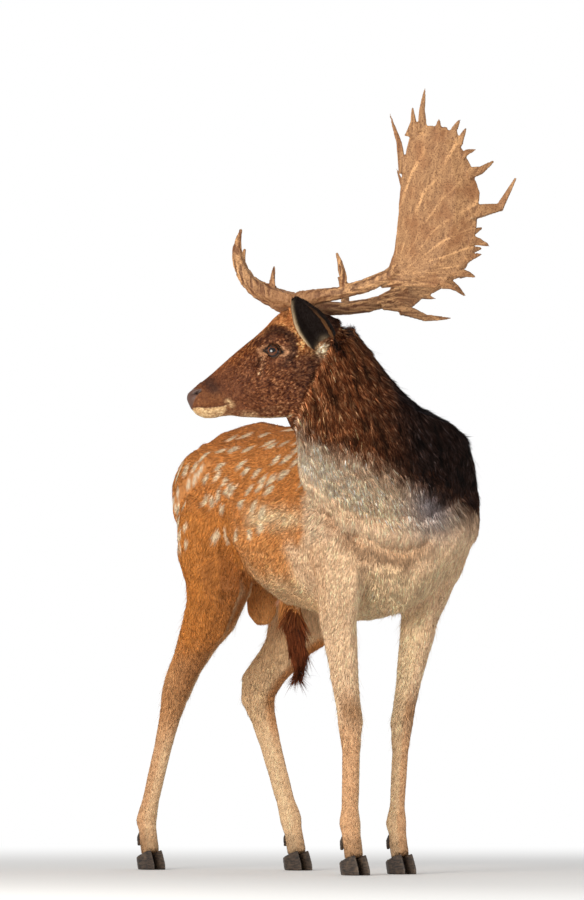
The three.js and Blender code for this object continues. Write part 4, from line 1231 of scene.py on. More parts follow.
@dataclass
class Coat:
    """All the hair, as thin solid tufts that lie along the skin."""

    hide: Hide
    markings: Markings
    unwrap: np.ndarray
    seed: int = 11
    thickness: float = 0.32
    tip_light: float = 1.12
    even: np.ndarray = field(init=False)

    def build(self) -> list[tuple[bpy.types.Object, Growth]]:
        """Grows every region's hair.

        Returns:
            The coat pieces, each with its growth.
        """
        chance = np.random.default_rng(self.seed)
        order = list(Region)
        quads = self.hide.surface.quads
        self.even = unit(self.hide.surface.blur(self.hide.normal, 4))
        shares = np.stack([self.hide.shares[r][quads].mean(axis=1) for r in order], axis=1)
        owner = shares.argmax(axis=1)
        areas = self.hide.surface.areas() * self._cover()[quads].mean(axis=1)
        pieces = []
        for growth in GROWTHS:
            mine = np.flatnonzero(owner == order.index(growth.region))
            count = growth.tufts // 1
            per_tuft = 4 if growth.bends == 1 else 10
            parts = math.ceil(count * per_tuft / TRIANGLES_PER_PIECE)
            area = areas[mine].sum()
            log.info("%s: %d tufts on %.3f square metres in %d pieces", growth.name, count, area, parts)
            picked = self._scatter(mine, areas[mine], count, chance)
            for part in range(parts):
                name = growth.name if parts == 1 else f"{growth.name}_{part + 1}"
                pieces.append((self._grow(name, growth, *(a[part::parts] for a in picked), chance), growth))
        return pieces

    def _cover(self) -> np.ndarray:
        """How thickly hair grows at each vertex, from 0 on the nose and lids to 1."""
        head = HEAD.inside(self.hide.surface.points)
        bare = Markings.nose(head)
        eye = step(1.36, 1.18, Markings.lids(head)) * step(26, 34, np.abs(head[:, 1])) * self.hide.share(Region.HEAD)
        floor = BODY.inside(self.hide.surface.points)[:, 2]
        return np.clip(1.0 - bare - eye, 0.0, 1.0) * step(14, 26, floor)

    def _scatter(
        self, quads: np.ndarray, areas: np.ndarray, count: int, chance: np.random.Generator
    ) -> tuple[np.ndarray, ...]:
        """Picks evenly spread places on quads.

        Args:
            quads: Which quads.
            areas: How much of the hair each may have.
            count: How many places.
            chance: The seeded generator.

        Returns:
            The quad of each place, and its two shares across the quad.
        """
        edges = np.cumsum(areas)
        marks = (np.arange(count) + chance.uniform(0, 1, count)) * edges[-1] / count
        picked = quads[np.minimum(np.searchsorted(edges, marks), len(quads) - 1)]
        mixed = chance.permutation(count)
        return picked[mixed], chance.uniform(0, 1, count), chance.uniform(0, 1, count)

    def _grow(
        self,
        name: str,
        growth: Growth,
        quads: np.ndarray,
        u: np.ndarray,
        v: np.ndarray,
        chance: np.random.Generator,
    ) -> bpy.types.Object:
        """Makes one coat piece.

        Args:
            name: The piece's name.
            growth: Its hair.
            quads: The skin quad that each tuft stands on.
            u: Each root's share across its quad.
            v: Each root's share up its quad.
            chance: The seeded generator.

        Returns:
            The piece.
        """
        surface = self.hide.surface
        corners = surface.quads[quads]
        weights = np.stack(((1 - u) * (1 - v), u * (1 - v), u * v, (1 - u) * v), axis=1)

        def spread(values: np.ndarray) -> np.ndarray:
            """Values of the skin's vertices at the roots."""
            return np.einsum("nk,nk...->n...", weights, values[corners])

        roots = spread(surface.points)
        normals = unit(spread(self.hide.normal))
        shares = {region: spread(self.hide.shares[region]) for region in Region}
        lie = spread(self.hide.lie)
        lie = unit(lie - normals * dot(lie, normals)[:, None])
        side = np.cross(lie, normals)
        count = len(roots)
        body = BODY.inside(roots)
        sway = 0.30 * cloud(body, 30.0, 21) + 0.28 * cloud(body, 9.0, 22) + chance.normal(0, growth.spread, count)
        lie = unit(lie + side * sway[:, None])
        side = np.cross(lie, normals)
        length, width, lift = self._sizes(growth, roots, normals, shares, chance)
        bend = self._bend(corners, u, v, lie)
        coat = self.markings.colour(roots + lie * (0.35 * length)[:, None] * MM, normals, shares)
        tones = {g.region: g.tone for g in GROWTHS}
        vary = sum(shares[r] * tones[r] for r in Region) / sum(shares[r] for r in Region)
        tone = np.exp(vary * (chance.normal(0, 0.9, count) + 0.6 * cloud(body, 5.0, 23)))
        tone *= 1.0 - self._ripples(body, shares)
        light = step(0.86, 0.9, chance.uniform(0, 1, count)) * (shares[Region.NECK] + 0.5 * shares[Region.HEAD])
        coat = coat * (tone * (1.0 + 0.6 * light))[:, None]
        rings = growth.bends
        points, shades, patch = [], [], []
        step_high = width * self.thickness
        for ring in range(rings):
            part = ring / rings
            rise = self._rise(part, length, lift, bend)
            middle = roots + (lie * (part * length)[:, None] + normals * rise[:, None]) * MM
            half = (0.5 * width * (1.0 - 0.25 * part))[:, None] * MM * side
            points += [middle - half, middle + half, middle + normals * (step_high * (1 - 0.3 * part))[:, None] * MM]
            dark = growth.deepen + (1.0 - growth.deepen) * part
            shades += [coat * dark, coat * dark, coat * (dark + 0.15)]
            patch += [(-1.0, -1.0 + part), (1.0, -1.0 + part), (0.25, -0.4 + part)]
        rise = self._rise(1.0, length, lift, bend)
        points.append(roots + (lie * length[:, None] + normals * rise[:, None]) * MM)
        shades.append(coat * self.tip_light)
        patch.append((0.0, 1.0))
        all_points = np.stack(points, axis=1).reshape(-1, 3)
        all_faces = (self._tuft(rings)[None] + (np.arange(count) * len(points))[:, None, None]).reshape(-1, 3)
        mesh = array_mesh(name, all_points, all_faces)
        paint(mesh, "coat", np.stack(shades, axis=1).reshape(-1, 3))
        spot = np.einsum("nk,nkc->nc", weights, self.unwrap[quads])
        own = spot[:, None, :] + np.array(patch)[None] * (PATCH / 2)
        layer = mesh.uv_layers.new(name="OFBake")
        corners_uv = np.clip(own.reshape(-1, 2), 0.0, 1.0)[all_faces.ravel()]
        layer.data.foreach_set("uv", corners_uv.astype(np.float32).ravel())
        return new_object(mesh)

    @staticmethod
    def _tuft(rings: int) -> np.ndarray:
        """The triangles of one closed tuft: rings of three vertices and a tip."""
        faces = [(0, 1, 2)]
        for ring in range(rings):
            a, b = 3 * ring, 3 * ring + 3
            for i, j in ((0, 2), (2, 1), (1, 0)):
                if ring < rings - 1:
                    faces += [(a + i, a + j, b + j), (a + i, b + j, b + i)]
                else:
                    faces.append((a + i, a + j, b))
        return np.array(faces)

    def _strays(self, body: np.ndarray, head: np.ndarray, shares: dict[Region, np.ndarray]) -> np.ndarray:
        """How many of the hairs stand out long: on the rump, thighs, elbows, shoulders, withers and chin."""
        y, z = body[:, 1], body[:, 2]
        some = 0.03 * (shares[Region.TRUNK] * step(560, 640, y) + shares[Region.UPPER_LEG] * step(620, 500, z))
        some += 0.04 * shares[Region.UPPER_LEG] * bell(z, 490, 60) + 0.006 * shares[Region.NECK]
        some += 0.015 * shares[Region.TRUNK] * step(40, -60, y)
        some *= step(0.12, 0.0, shares[Region.TAIL]) * (1.0 - step(740, 790, z) * step(480, 540, y))
        return some + 0.03 * shares[Region.HEAD] * step(120, 140, head[:, 0]) * step(-48, -56, head[:, 2])

    def _ripples(self, body: np.ndarray, shares: dict[Region, np.ndarray]) -> np.ndarray:
        """How much darker the hair is between the upright ripples of the neck."""
        across = aside(body)
        bent = np.stack((across + 0.22 * body[:, 2], 0.25 * body[:, 1], 0.24 * body[:, 2]), axis=1)
        ripple = cloud(bent, 7.5, 24) + 0.35 * cloud(bent, 3.6, 25)
        level = step(730, 830, body[:, 2] + 0.45 * across)
        poll = step(0, -50, HEAD.inside(BODY.outside(body))[:, 0])
        where = shares[Region.NECK] * (0.1 + 0.9 * level) + shares[Region.HEAD] * poll
        return 0.75 * step(0.05, 0.6, ripple) * np.clip(where, 0, 1)

    def _bend(self, corners: np.ndarray, u: np.ndarray, v: np.ndarray, lie: np.ndarray) -> np.ndarray:
        """How the skin bends along each tuft: above 0 where it rises ahead of the root.

        Args:
            corners: The four vertices of each root's quad.
            u: Each root's share across its quad.
            v: Each root's share up its quad.
            lie: Each tuft's direction.

        Returns:
            The bend, one part in so many millimetres.
        """
        slopes = []
        for values in (self.hide.surface.points, self.even):
            a, b, c, d = (values[corners[:, i]] for i in range(4))
            slopes.append((b - a) * (1 - v)[:, None] + (c - d) * v[:, None])
            slopes.append((d - a) * (1 - u)[:, None] + (c - b) * u[:, None])
        across, up, turn_across, turn_up = slopes
        aa, bb, ab = dot(across, across), dot(up, up), dot(across, up)
        whole = np.maximum(aa * bb - ab * ab, 1e-18)
        la, lb = dot(lie, across), dot(lie, up)
        ka, kb = (la * bb - lb * ab) / whole, (lb * aa - la * ab) / whole
        bend = -dot(turn_across * ka[:, None] + turn_up * kb[:, None], lie) * MM
        return np.clip(bend, -0.012, 0.05)

    def _rise(self, part: float, length: np.ndarray, lift: np.ndarray, bend: np.ndarray) -> np.ndarray:
        """How far above the skin a tuft stands at a share of its length."""
        over = np.clip(0.5 * bend * (part * length) ** 2, -0.3 * part * length, 0.3 * part * length)
        return length * lift * part * (1.0 - 0.35 * part) - 0.35 * (1.0 - part) + over

    def _sizes(
        self,
        growth: Growth,
        roots: np.ndarray,
        normals: np.ndarray,
        shares: dict[Region, np.ndarray],
        chance: np.random.Generator,
    ) -> tuple[np.ndarray, np.ndarray, np.ndarray]:
        """Each tuft's length, width and lift.

        Args:
            growth: The region's hair.
            roots: Where the tufts stand.
            normals: The skin's normals there.
            shares: How far each root belongs to each region.
            chance: The seeded generator.

        Returns:
            Lengths and widths in millimetres, and lifts as shares of the length.
        """
        count = len(roots)
        lengths = {g.region: g.length for g in GROWTHS}
        widths = {g.region: g.width for g in GROWTHS}
        total = sum(shares[r] for r in Region)
        length = sum(shares[r] * min(lengths[r], growth.length * 1.6) for r in Region) / total
        width = sum(shares[r] * widths[r] for r in Region) / total
        head = HEAD.inside(roots)
        on_head = shares[Region.HEAD]
        length *= 1.0 - on_head * 0.6 * step(40, 150, head[:, 0])
        length *= 1.0 + on_head * 0.6 * step(-60, -110, head[:, 0])
        near_eye = np.hypot(head[:, 0], head[:, 2])
        length *= 1.0 - on_head * 0.45 * step(36, 20, near_eye)
        body = BODY.inside(roots)
        belly = step(-0.3, -0.8, normals[:, 2]) * shares[Region.TRUNK]
        length *= 1.0 + 0.5 * belly
        length *= step(10, 60, body[:, 2]) * 0.6 + 0.4
        ruffle = 1.0 + 0.25 * cloud(body, 14.0, 31)
        length = length * ruffle * np.exp(chance.normal(0, 0.16, count))
        width = width * np.exp(chance.normal(0, 0.2, count))
        lift = growth.lift * np.exp(chance.normal(0, 0.45, count)) * (1.0 + 0.5 * cloud(body, 11.0, 32))
        stray = chance.uniform(0, 1, count) < self._strays(body, head, shares)
        length = np.where(stray, np.minimum(length * chance.uniform(1.5, 2.3, count), length + 16), length)
        width = np.where(stray, width * 0.5, width)
        lift = np.where(stray, chance.uniform(0.3, 0.6, count), lift)
        return length, width, np.clip(lift, 0.02, 0.6)


# ---------------------------------------------------------------- antlers and hooves


@dataclass
class Antler:
    """One antler, with its brow tine, trez tine, beam and palm in one surface."""

    side: Side
    cell: float = 2.1 * MM
    fatten: float = 0.9 * MM
    groove: float = 0.55
    pearl: float = 0.9
    root: tuple[float, float, float] = (-58.0, 20.0, 40.0)

    @property
    def nodes(self) -> tuple[str, ...]:
        """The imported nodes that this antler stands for."""
        return tuple(f"antler_{self.side.value}_{part}" for part in ("brow_tine", "trez_tine", "palm", "beam"))

    def build(self) -> bpy.types.Object:
        """Joins, smooths and grooves the antler.

        Returns:
            The antler.
        """
        surface = voxel_lattice([merged_copy(n, self.fatten) for n in self.nodes], self.cell)
        surface.soften(9)
        surface.points = surface.points - surface.normals() * (self.fatten - 0.1 * MM)
        places = HEAD.inside(surface.points)
        far = self._distance(surface, places)
        flow = self._flow(surface, far)
        chance = np.random.default_rng(31 + int(self.side.sign))
        streak = self._streaks(surface, flow, chance.normal(0, 1, len(places)), 40)
        broad = self._streaks(surface, flow, surface.blur(chance.normal(0, 1, len(places)), 6), 60)
        convex = self._convexity(surface, 7)
        tips = np.clip(surface.blur(step(0.5, 2.2, convex), 2), 0.0, 1.0)
        burr = step(46, 8, far)
        palm = step(190, 260, far)
        veins = self._veins(places, far)
        wide = self._convexity(surface, 20)
        round_off = np.clip(0.4 * wide, 0.0, 2.4) + np.clip(-0.55 * wide, 0.0, 3.0)
        lines = 0.9 * streak * (1.0 - 0.5 * palm) + 1.1 * broad * (1.0 - 0.8 * palm)
        relief = self.groove * lines * (1.0 - 0.8 * tips)
        relief += 0.8 * veins * (1.0 - tips) + 1.5 * tips
        relief += self.pearl * step(0.25, 0.9, cloud(places, 5.2, 41)) * step(150, 20, far)
        relief += 2.0 * burr * (0.4 + 0.6 * step(-0.2, 0.6, cloud(places, 8.0, 42)))
        surface.push(relief + surface.blur(round_off, 4))
        mesh = surface.mesh(f"antler_{self.side.value}")
        measure(mesh, "relief", np.clip(0.5 + 0.35 * (relief - 1.5 * tips) + 0.12 * veins, 0.0, 1.0))
        measure(mesh, "tip", tips)
        measure(mesh, "burr", step(120, 10, far))
        return new_object(mesh)

    def _veins(self, places: np.ndarray, far: np.ndarray) -> np.ndarray:
        """Raised lines that spread over the palm from its foot, from 0 to 1."""
        blade = places[far > 240]
        foot = places[(far > 195) & (far < 225)].mean(axis=0)
        spread = blade - blade.mean(axis=0)
        long, wide = np.linalg.svd(spread, full_matrices=False)[2][:2]
        gap = places - foot
        reach = np.hypot(gap @ long, gap @ wide)
        angle = np.arctan2(gap @ wide, gap @ long)
        bent = 30.0 * angle + 1.6 * np.sin(reach / 60.0) + 1.5 * cloud(places, 46.0, 43)
        fade = step(-0.5, 0.5, cloud(places, 34.0, 45) + 0.4 * cloud(places, 9.0, 46))
        return step(0.84, 1.0, np.cos(bent)) * (0.15 + 0.6 * fade) * step(20, 60, reach) * step(230, 260, far)

    def _distance(self, surface: Lattice, places: np.ndarray) -> np.ndarray:
        """The way along the surface from the burr, in millimetres."""
        near = [[] for _ in range(len(places))]
        lengths = np.linalg.norm(places[surface.edges[:, 0]] - places[surface.edges[:, 1]], axis=1)
        for (a, b), length in zip(surface.edges.tolist(), lengths.tolist()):
            near[a].append((b, length))
            near[b].append((a, length))
        root = np.array(self.root) * (1.0, self.side.sign, 1.0)
        gap = np.linalg.norm(places - root, axis=1)
        starts = np.flatnonzero(gap < gap.min() + 16)
        far = np.full(len(places), 1e9)
        queue = [(0.0, int(i)) for i in starts]
        for _, i in queue:
            far[i] = 0.0
        heapq.heapify(queue)
        while queue:
            gone, i = heapq.heappop(queue)
            if gone > far[i]:
                continue
            for j, length in near[i]:
                if gone + length < far[j]:
                    far[j] = gone + length
                    heapq.heappush(queue, (far[j], j))
        return np.where(far > 1e8, 600.0, far)

    def _flow(self, surface: Lattice, far: np.ndarray) -> np.ndarray:
        """The direction away from the burr at each vertex."""
        a, b = surface.edges.T
        way = unit(surface.points[b] - surface.points[a]) * (far[b] - far[a])[:, None]
        flow = np.stack([surface.gather(column, column) for column in way.T], axis=1)
        return unit(surface.blur(unit(flow), 8))

    def _streaks(self, surface: Lattice, flow: np.ndarray, grain: np.ndarray, rounds: int) -> np.ndarray:
        """Draws a grain out into streaks along the flow.

        Args:
            surface: The antler's surface.
            flow: The direction at each vertex.
            grain: A value at each vertex.
            rounds: How long the streaks get.

        Returns:
            The streaks, about -1 to 1.
        """
        a, b = surface.edges.T
        way = unit(surface.points[b] - surface.points[a])
        weight = np.abs(dot(way, unit(flow[a] + flow[b]))) ** 6 + 0.004
        total = surface.gather(weight, weight)
        for _ in range(rounds):
            mean = surface.gather(weight * grain[b], weight * grain[a])
            grain = 0.5 * grain + 0.5 * mean / total
        grain = grain - surface.blur(grain, 16)
        return np.clip(grain / (1.6 * grain.std()), -1.0, 1.0)

    def _convexity(self, surface: Lattice, rounds: int) -> np.ndarray:
        """How sharply the surface stands out, in millimetres."""
        softened = surface.points
        for _ in range(rounds):
            softened = surface.mean(softened)
        return dot(surface.points - softened, surface.normals()) / MM


@dataclass
class Foot:
    """The horn of one foot: two claws and two dew claws."""

    pair: str
    side: Side
    cell: float = 2.3 * MM
    fatten: float = 0.2 * MM

    @property
    def nodes(self) -> tuple[str, ...]:
        """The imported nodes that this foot's horn stands for."""
        stem = f"{self.pair}_{self.side.value}"
        return tuple(f"{kind}_{stem}_{half.value}" for kind in ("claw", "dewclaw") for half in Side)

    def build(self) -> bpy.types.Object:
        """Rounds the claws, flattens their soles and rings their walls.

        Returns:
            The foot's horn.
        """
        surface = voxel_lattice([merged_copy(n, self.fatten) for n in self.nodes], self.cell)
        surface.soften(8)
        places = BODY.inside(surface.points)
        wall = step(4, 10, places[:, 2])
        ring = 0.16 * np.sin(places[:, 2] * 2 * math.pi / 3.4 + 1.4 * cloud(places, 14.0, 51)) * wall
        surface.push(ring - 0.2)
        surface.points[:, 2] = np.maximum(surface.points[:, 2], 0.0)
        return new_object(surface.mesh(f"hoof_{self.pair}_{self.side.value}"))


# ---------------------------------------------------------------- finishes


def operator(operation: str, reflected: bool = False) -> Callable[["Wire", "Wire | float"], "Wire"]:
    """A method of Wire that adds one Math node.

    Args:
        operation: The node's operation.
        reflected: Whether the other value comes first.

    Returns:
        The method.
    """

    def method(self: "Wire", other: "Wire | float") -> "Wire":
        """The result of the operation."""
        values = (other, self) if reflected else (self, other)
        return self.bench.add("ShaderNodeMath", {"operation": operation}, dict(enumerate(values)))

    return method


class Wire:
    """A shader socket whose operators add Math nodes."""

    def __init__(self, bench: "Bench", socket: bpy.types.NodeSocket) -> None:
        """Keeps the socket and the bench that it is on."""
        self.bench = bench
        self.socket = socket

    __add__ = __radd__ = operator("ADD")
    __mul__ = __rmul__ = operator("MULTIPLY")
    __sub__ = operator("SUBTRACT")
    __rsub__ = operator("SUBTRACT", reflected=True)
    __pow__ = operator("POWER")

    def rise(self, low: float, high: float) -> "Wire":
        """0 at low, 1 at high, smooth between."""
        inputs = {"Value": self, "From Min": low, "From Max": high}
        return self.bench.add("ShaderNodeMapRange", {"interpolation_type": "SMOOTHSTEP"}, inputs)


class Bench:
    """The node tree of a material or of the world."""

    def __init__(self, owner: bpy.types.Material | bpy.types.World) -> None:
        """Empties the owner's tree."""
        owner.use_nodes = True
        self.owner = owner
        self.tree = owner.node_tree
        self.tree.nodes.clear()

    def add(self, kind: str, settings: dict | None = None, inputs: dict | None = None, out: int | str = 0) -> Wire:
        """Adds a node.

        Args:
            kind: The node's type.
            settings: Its own settings, set first.
            inputs: Values or wires for its sockets, by name or number.
            out: Which output to hand back.

        Returns:
            The output.
        """
        made = self.tree.nodes.new(kind)
        for key, value in (settings or {}).items():
            setattr(made, key, value)
        for key, value in (inputs or {}).items():
            if isinstance(value, Wire):
                self.tree.links.new(value.socket, made.inputs[key])
            else:
                made.inputs[key].default_value = value
        return Wire(self, made.outputs[out]) if made.outputs else None

    def blend(self, factor: "Wire | float", first: "Wire | tuple", second: "Wire | tuple", mode: str = "MIX") -> Wire:
        """Mixes two colours."""
        settings = {"data_type": "RGBA", "blend_type": mode}
        return self.add("ShaderNodeMix", settings, {0: factor, 6: first, 7: second}, out=2)

    def place(self) -> Wire:
        """Object coordinates."""
        return self.add("ShaderNodeTexCoord", out="Object")

    def noise(self, scale: float, detail: float = 3.0, rough: float = 0.55, at: "Wire | None" = None) -> Wire:
        """Noise over the object's own coordinates."""
        inputs = {"Vector": at or self.place(), "Scale": scale, "Detail": detail, "Roughness": rough}
        return self.add("ShaderNodeTexNoise", inputs=inputs, out="Fac")

    def value(self, name: str, out: str = "Fac") -> Wire:
        """A value that is stored at the vertices."""
        return self.add("ShaderNodeAttribute", {"attribute_name": name}, out=out)

    def bump(self, height: Wire, strength: float, distance: float) -> Wire:
        """A normal that follows small heights."""
        inputs = {"Strength": strength, "Distance": distance, "Height": height}
        return self.add("ShaderNodeBump", inputs=inputs, out="Normal")

    def finish(self, **inputs: "Wire | float | tuple") -> bpy.types.Material:
        """Ends the tree in a Principled shader.

        Args:
            inputs: Its sockets' values or wires, with an underscore for each space in a socket's name.

        Returns:
            The material.
        """
        named = {key.replace("_", " "): value for key, value in inputs.items()}
        shader = self.add("ShaderNodeBsdfPrincipled", inputs=named)
        self.add("ShaderNodeOutputMaterial", inputs={"Surface": shader})
        return self.owner


def rgba(red: float, green: float, blue: float) -> tuple[float, float, float, float]:
    """A display colour from 0 to 255 as a linear colour for a socket."""
    return (*(float(c) for c in shade(red, green, blue)), 1.0)


@dataclass(frozen=True)
class HairFinish:
    """Tufts of hair, coloured by the markings."""

    name: str = "deer_hair"
    rough: float = 0.74
    gloss: float = 0.08

    def make(self) -> bpy.types.Material:
        """Builds the material."""
        bench = Bench(bpy.data.materials.new(self.name))
        coat = bench.add("ShaderNodeVertexColor", {"layer_name": "coat"})
        grain = bench.noise(900.0, 2.0)
        paler = bench.blend(1.0, coat, (1.35, 1.3, 1.2, 1.0), "MULTIPLY")
        colour = bench.blend(grain.rise(0.35, 0.7) * 0.22, coat, paler)
        return bench.finish(Base_Color=colour, Roughness=self.rough + 0.12 * grain, Specular_IOR_Level=self.gloss)


@dataclass(frozen=True)
class SkinFinish:
    """The short ground coat on the skin itself, and the bare nose and lids."""

    name: str = "deer_skin"

    def make(self) -> bpy.types.Material:
        """Builds the material."""
        bench = Bench(bpy.data.materials.new(self.name))
        coat = bench.add("ShaderNodeVertexColor", {"layer_name": "coat"})
        bare = bench.value("bare")
        fine = bench.noise(520.0, 3.0)
        speck = bench.noise(1500.0, 2.0)
        shaded = bench.blend(fine.rise(0.3, 0.75) * 0.35 * (1.0 - bare), coat, (0.02, 0.012, 0.008, 1.0))
        pebbles = bench.add(
            "ShaderNodeTexVoronoi", {"feature": "F1"}, {"Vector": bench.place(), "Scale": 620.0}, out="Distance"
        )
        height = bare * (1.0 - pebbles) * 0.8 + (1.0 - bare) * (fine * 0.7 + speck * 0.5)
        bump = bench.bump(height, 0.5, 0.0008)
        return bench.finish(Base_Color=shaded, Roughness=0.72 - 0.36 * bare, Specular_IOR_Level=0.25, Normal=bump)


@dataclass(frozen=True)
class AntlerFinish:
    """Weathered antler: brown grooves, tan ridges, ivory tips."""

    name: str = "antler_bone"

    def make(self) -> bpy.types.Material:
        """Builds the material."""
        bench = Bench(bpy.data.materials.new(self.name))
        relief = bench.value("relief")
        tip = bench.value("tip")
        burr = bench.value("burr")
        patchy = bench.noise(22.0, 4.0)
        fine = bench.noise(420.0, 3.0)
        groove = rgba(92, 56, 32)
        ridge = rgba(220, 168, 116)
        tan = bench.blend((relief * 0.8 + fine * 0.3).rise(0.3, 0.85), groove, ridge)
        tan = bench.blend(patchy.rise(0.42, 0.7) * 0.6, tan, rgba(136, 84, 46))
        pits = bench.noise(330.0, 3.0)
        tan = bench.blend(pits.rise(0.52, 0.64) * 0.7, tan, rgba(96, 56, 30))
        dark = bench.blend(burr * 0.6, tan, rgba(112, 64, 34))
        colour = bench.blend(tip.rise(0.35, 1.0) * 0.8, dark, rgba(232, 206, 170))
        bump = bench.bump(fine + relief * 0.3, 0.45, 0.0006)
        rough = 0.62 - 0.2 * tip + 0.1 * fine
        return bench.finish(Base_Color=colour, Roughness=rough, Specular_IOR_Level=0.4, Normal=bump)


@dataclass(frozen=True)
class HoofFinish:
    """Dark horn with fine rings."""

    name: str = "hoof_horn"

    def make(self) -> bpy.types.Material:
        """Builds the material."""
        bench = Bench(bpy.data.materials.new(self.name))
        long = bench.add("ShaderNodeMapping", inputs={"Vector": bench.place(), "Scale": (1.0, 1.0, 5.0)})
        rings = bench.noise(90.0, 3.0, at=long)
        dust = bench.noise(60.0, 4.0)
        colour = bench.blend(rings.rise(0.35, 0.7), rgba(38, 30, 26), rgba(84, 68, 55))
        colour = bench.blend(dust.rise(0.5, 0.8) * 0.35, colour, rgba(132, 108, 84))
        bump = bench.bump(rings, 0.4, 0.0005)
        return bench.finish(Base_Color=colour, Roughness=0.45 + 0.15 * dust, Specular_IOR_Level=0.45, Normal=bump)


@dataclass(frozen=True)
class EyeFinish:
    """A dark brown eye with a long level pupil under a clear cornea."""

    name: str = "eyeball"

    def make(self) -> bpy.types.Material:
        """Builds the material."""
        bench = Bench(bpy.data.materials.new(self.name))
        look = bench.value("look", "Vector")
        across, rise = (bench.add("ShaderNodeSeparateXYZ", inputs={0: look}, out=axis) for axis in (0, 1))
        ring = (across * across + rise * rise) ** 0.5
        pupil = ((across * across) * 6.2 + (rise * rise) * 12.0) ** 0.5
        angle = bench.add("ShaderNodeMath", {"operation": "ARCTAN2"}, {0: rise, 1: across})
        turns = {"W": angle, "Scale": 14.0, "Detail": 2.0}
        fibre = bench.add("ShaderNodeTexNoise", {"noise_dimensions": "1D"}, turns, out="Fac")
        iris = bench.blend(fibre.rise(0.3, 0.7), rgba(44, 21, 9), rgba(134, 72, 30))
        iris = bench.blend(ring.rise(0.50, 0.60), iris, rgba(30, 15, 8))
        white = bench.blend(ring.rise(0.70, 0.78), iris, rgba(96, 66, 50))
        colour = bench.blend(1.0 - pupil.rise(0.92, 1.05), white, (0.004, 0.004, 0.006, 1.0))
        clear = {"Coat_Weight": 0.8, "Coat_Roughness": 0.02}
        return bench.finish(Base_Color=colour, Roughness=0.1, Specular_IOR_Level=0.1, **clear)


@dataclass(frozen=True)
class WetFinish:
    """The dark wet edge of the lids."""

    name: str = "eye_rim"

    def make(self) -> bpy.types.Material:
        """Builds the material."""
        bench = Bench(bpy.data.materials.new(self.name))
        fine = bench.noise(700.0, 2.0)
        colour = bench.blend(fine.rise(0.35, 0.7), rgba(12, 8, 7), rgba(30, 19, 15))
        bump = bench.bump(fine, 0.3, 0.0003)
        return bench.finish(Base_Color=colour, Roughness=0.35, Specular_IOR_Level=0.3, Normal=bump)


# ---------------------------------------------------------------- studio


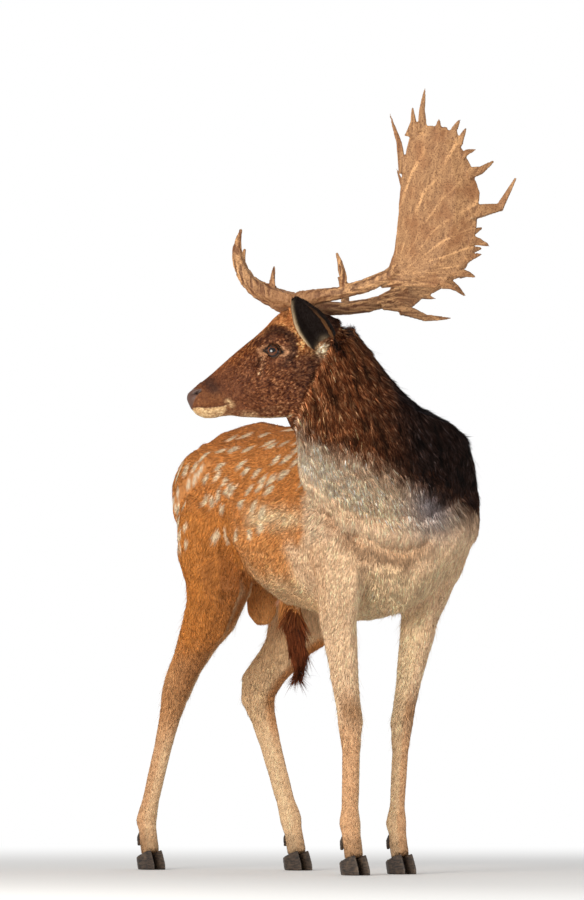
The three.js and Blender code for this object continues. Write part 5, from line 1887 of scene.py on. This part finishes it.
@dataclass
class Studio:
    """The pale floor, the soft light and the camera."""

    centre: tuple[float, float, float] = (0.14, 0.08, 0.75)
    ambient: float = 0.56
    key: float = 2.35
    fill: float = 0.35
    rim: float = 0.5
    lens: float = 287.18
    camera_place: tuple[float, float, float] = (-6722.4, -12281.6, 250.0)
    camera_way: tuple[float, float] = (0.46947, 0.88295)
    camera_tilt: float = 2.361
    floor_radius: float = 30.0
    floor_drop: float = 0.0005
    floor_fade: tuple[float, float] = (1.0, 4.2)

    def build(self) -> None:
        """Sets up everything that isn't the animal."""
        self._camera()
        self._floor()
        self._world()
        self._lamp("key_light", (-3.7, -2.7, 1.75), 1.9, self.key, (1.0, 0.95, 0.87))
        self._lamp("fill_light", (3.4, -3.0, 2.2), 3.0, self.fill, (0.93, 0.96, 1.0))
        self._lamp("rim_light", (1.8, 3.8, 3.0), 2.4, self.rim, (1.0, 0.97, 0.93))
        bpy.context.scene.view_settings.view_transform = "Standard"

    def _camera(self) -> None:
        """A long lens, low down, in front of the animal and to its right."""
        camera = bpy.data.cameras.new("camera")
        camera.sensor_fit = "AUTO"
        camera.sensor_width = 36.0
        camera.lens = self.lens
        camera.clip_end = 100.0
        stand = new_object(camera)
        stand.location = BODY.outside(self.camera_place)
        tilt = math.radians(self.camera_tilt)
        right, ahead = self.camera_way
        way = Vector((right * math.cos(tilt), ahead * math.cos(tilt), math.sin(tilt)))
        stand.rotation_euler = way.to_track_quat("-Z", "Y").to_euler()
        bpy.context.scene.camera = stand

    def _floor(self) -> None:
        """A wide pale disc that fades to white away from the animal."""
        work = bmesh.new()
        bmesh.ops.create_circle(work, cap_ends=True, segments=96, radius=self.floor_radius)
        mesh = baked(work, "floor")
        mesh.transform(Matrix.Translation((0.0, 0.0, -self.floor_drop)))
        floor = new_object(mesh)
        material = bpy.data.materials.new("pale_floor")
        bench = Bench(material)
        shader = bench.add(
            "ShaderNodeBsdfPrincipled",
            inputs={"Base Color": (0.80, 0.79, 0.78, 1.0), "Roughness": 0.85, "Specular IOR Level": 0.2},
        )
        glow = bench.add("ShaderNodeEmission", inputs={"Color": (1.0, 1.0, 1.0, 1.0), "Strength": 1.0})
        far = bench.add("ShaderNodeVectorMath", {"operation": "LENGTH"}, {0: bench.place()}, out="Value")
        seen = bench.add("ShaderNodeLightPath", out="Is Camera Ray")
        mixed = bench.add("ShaderNodeMixShader", inputs={0: far.rise(*self.floor_fade) * seen, 1: shader, 2: glow})
        bench.add("ShaderNodeOutputMaterial", inputs={"Surface": mixed})
        mesh.materials.append(material)

    def _world(self) -> None:
        """White to the camera, softer as light."""
        world = bpy.data.worlds.new("studio")
        bpy.context.scene.world = world
        bench = Bench(world)
        seen = bench.add("ShaderNodeLightPath", out="Is Camera Ray")
        soft = {"Color": (0.97, 0.985, 1.0, 1.0), "Strength": self.ambient}
        light = bench.add("ShaderNodeBackground", inputs=soft)
        white = bench.add("ShaderNodeBackground", inputs={"Color": (1.0, 1.0, 1.0, 1.0), "Strength": 1.0})
        mixed = bench.add("ShaderNodeMixShader", inputs={0: seen, 1: light, 2: white})
        bench.add("ShaderNodeOutputWorld", inputs={0: mixed})

    def _lamp(
        self,
        name: str,
        place: tuple[float, float, float],
        size: float,
        strength: float,
        colour: tuple[float, float, float],
    ) -> None:
        """A square soft lamp that faces the animal.

        Args:
            name: The lamp's name.
            place: Where it hangs, in metres.
            size: Its side in metres.
            strength: How brightly it lights a surface that faces it.
            colour: Its colour.
        """
        data = bpy.data.lights.new(name, "AREA")
        data.shape = "SQUARE"
        data.size = size
        data.color = colour
        lamp = new_object(data)
        toward = Vector(self.centre) - Vector(place)
        data.energy = strength * math.pi * toward.length_squared
        lamp.location = place
        lamp.rotation_euler = toward.to_track_quat("-Z", "Y").to_euler()


# ---------------------------------------------------------------- the animal


def unwrap(surface: bpy.types.Object) -> np.ndarray:
    """Unwraps a piece by its own shape.

    Args:
        surface: The piece, all of quads.

    Returns:
        The place of each face's corners on the unwrap.
    """
    bpy.context.view_layer.objects.active = surface
    surface.select_set(True)
    bpy.ops.object.mode_set(mode="EDIT")
    bpy.ops.mesh.select_all(action="SELECT")
    bpy.ops.uv.smart_project(angle_limit=math.radians(66), island_margin=0.002)
    bpy.ops.object.mode_set(mode="OBJECT")
    surface.select_set(False)
    corners = np.empty(len(surface.data.loops) * 2)
    surface.data.uv_layers.active.data.foreach_get("uv", corners)
    return corners.reshape(-1, 4, 2)


def settle(piece: bpy.types.Object, material: bpy.types.Material, slot: str, *nodes: str) -> None:
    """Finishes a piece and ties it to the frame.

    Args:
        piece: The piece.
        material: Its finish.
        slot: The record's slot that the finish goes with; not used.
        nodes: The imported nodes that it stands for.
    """
    piece.data.materials.clear()
    piece.data.materials.append(material)
    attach(piece, "root")
    if nodes:
        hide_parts(*nodes)
    log.info("%s: %d faces", piece.name, len(piece.data.polygons))


def main() -> None:
    """Builds the animal and the studio in order."""
    logging.basicConfig(level=logging.INFO, format="%(relativeCreated)6d %(message)s", stream=sys.stdout)
    Studio().build()
    hide = Hide()
    skin = hide.build()
    log.info("skin sculpted")
    markings = Markings(hide)
    paint(skin.data, "coat", markings.colour(hide.surface.points, hide.normal, hide.shares))
    head = HEAD.inside(hide.surface.points)
    measure(skin.data, "bare", Markings.nose(head) * hide.share(Region.HEAD))
    log.info("skin painted")
    spread = unwrap(skin)
    log.info("skin unwrapped")
    settle(skin, SkinFinish().make(), "coat_fur", *FLESH)
    hair = HairFinish().make()
    for piece, growth in Coat(hide, markings, spread).build():
        settle(piece, hair, growth.slot)
    bone, horn, ball, wet = AntlerFinish().make(), HoofFinish().make(), EyeFinish().make(), WetFinish().make()
    for side in Side:
        antler = Antler(side)
        settle(antler.build(), bone, "antler", *antler.nodes)
        eye = Eye(side)
        settle(eye.build_ball(), ball, "eye", f"eye_{side.value}")
        settle(eye.build_rim(), wet, "eye")
        for pair in ("fore", "hind"):
            foot = Foot(pair, side)
            settle(foot.build(), horn, "hoof", *foot.nodes)


if __name__ == "__main__":
    main()
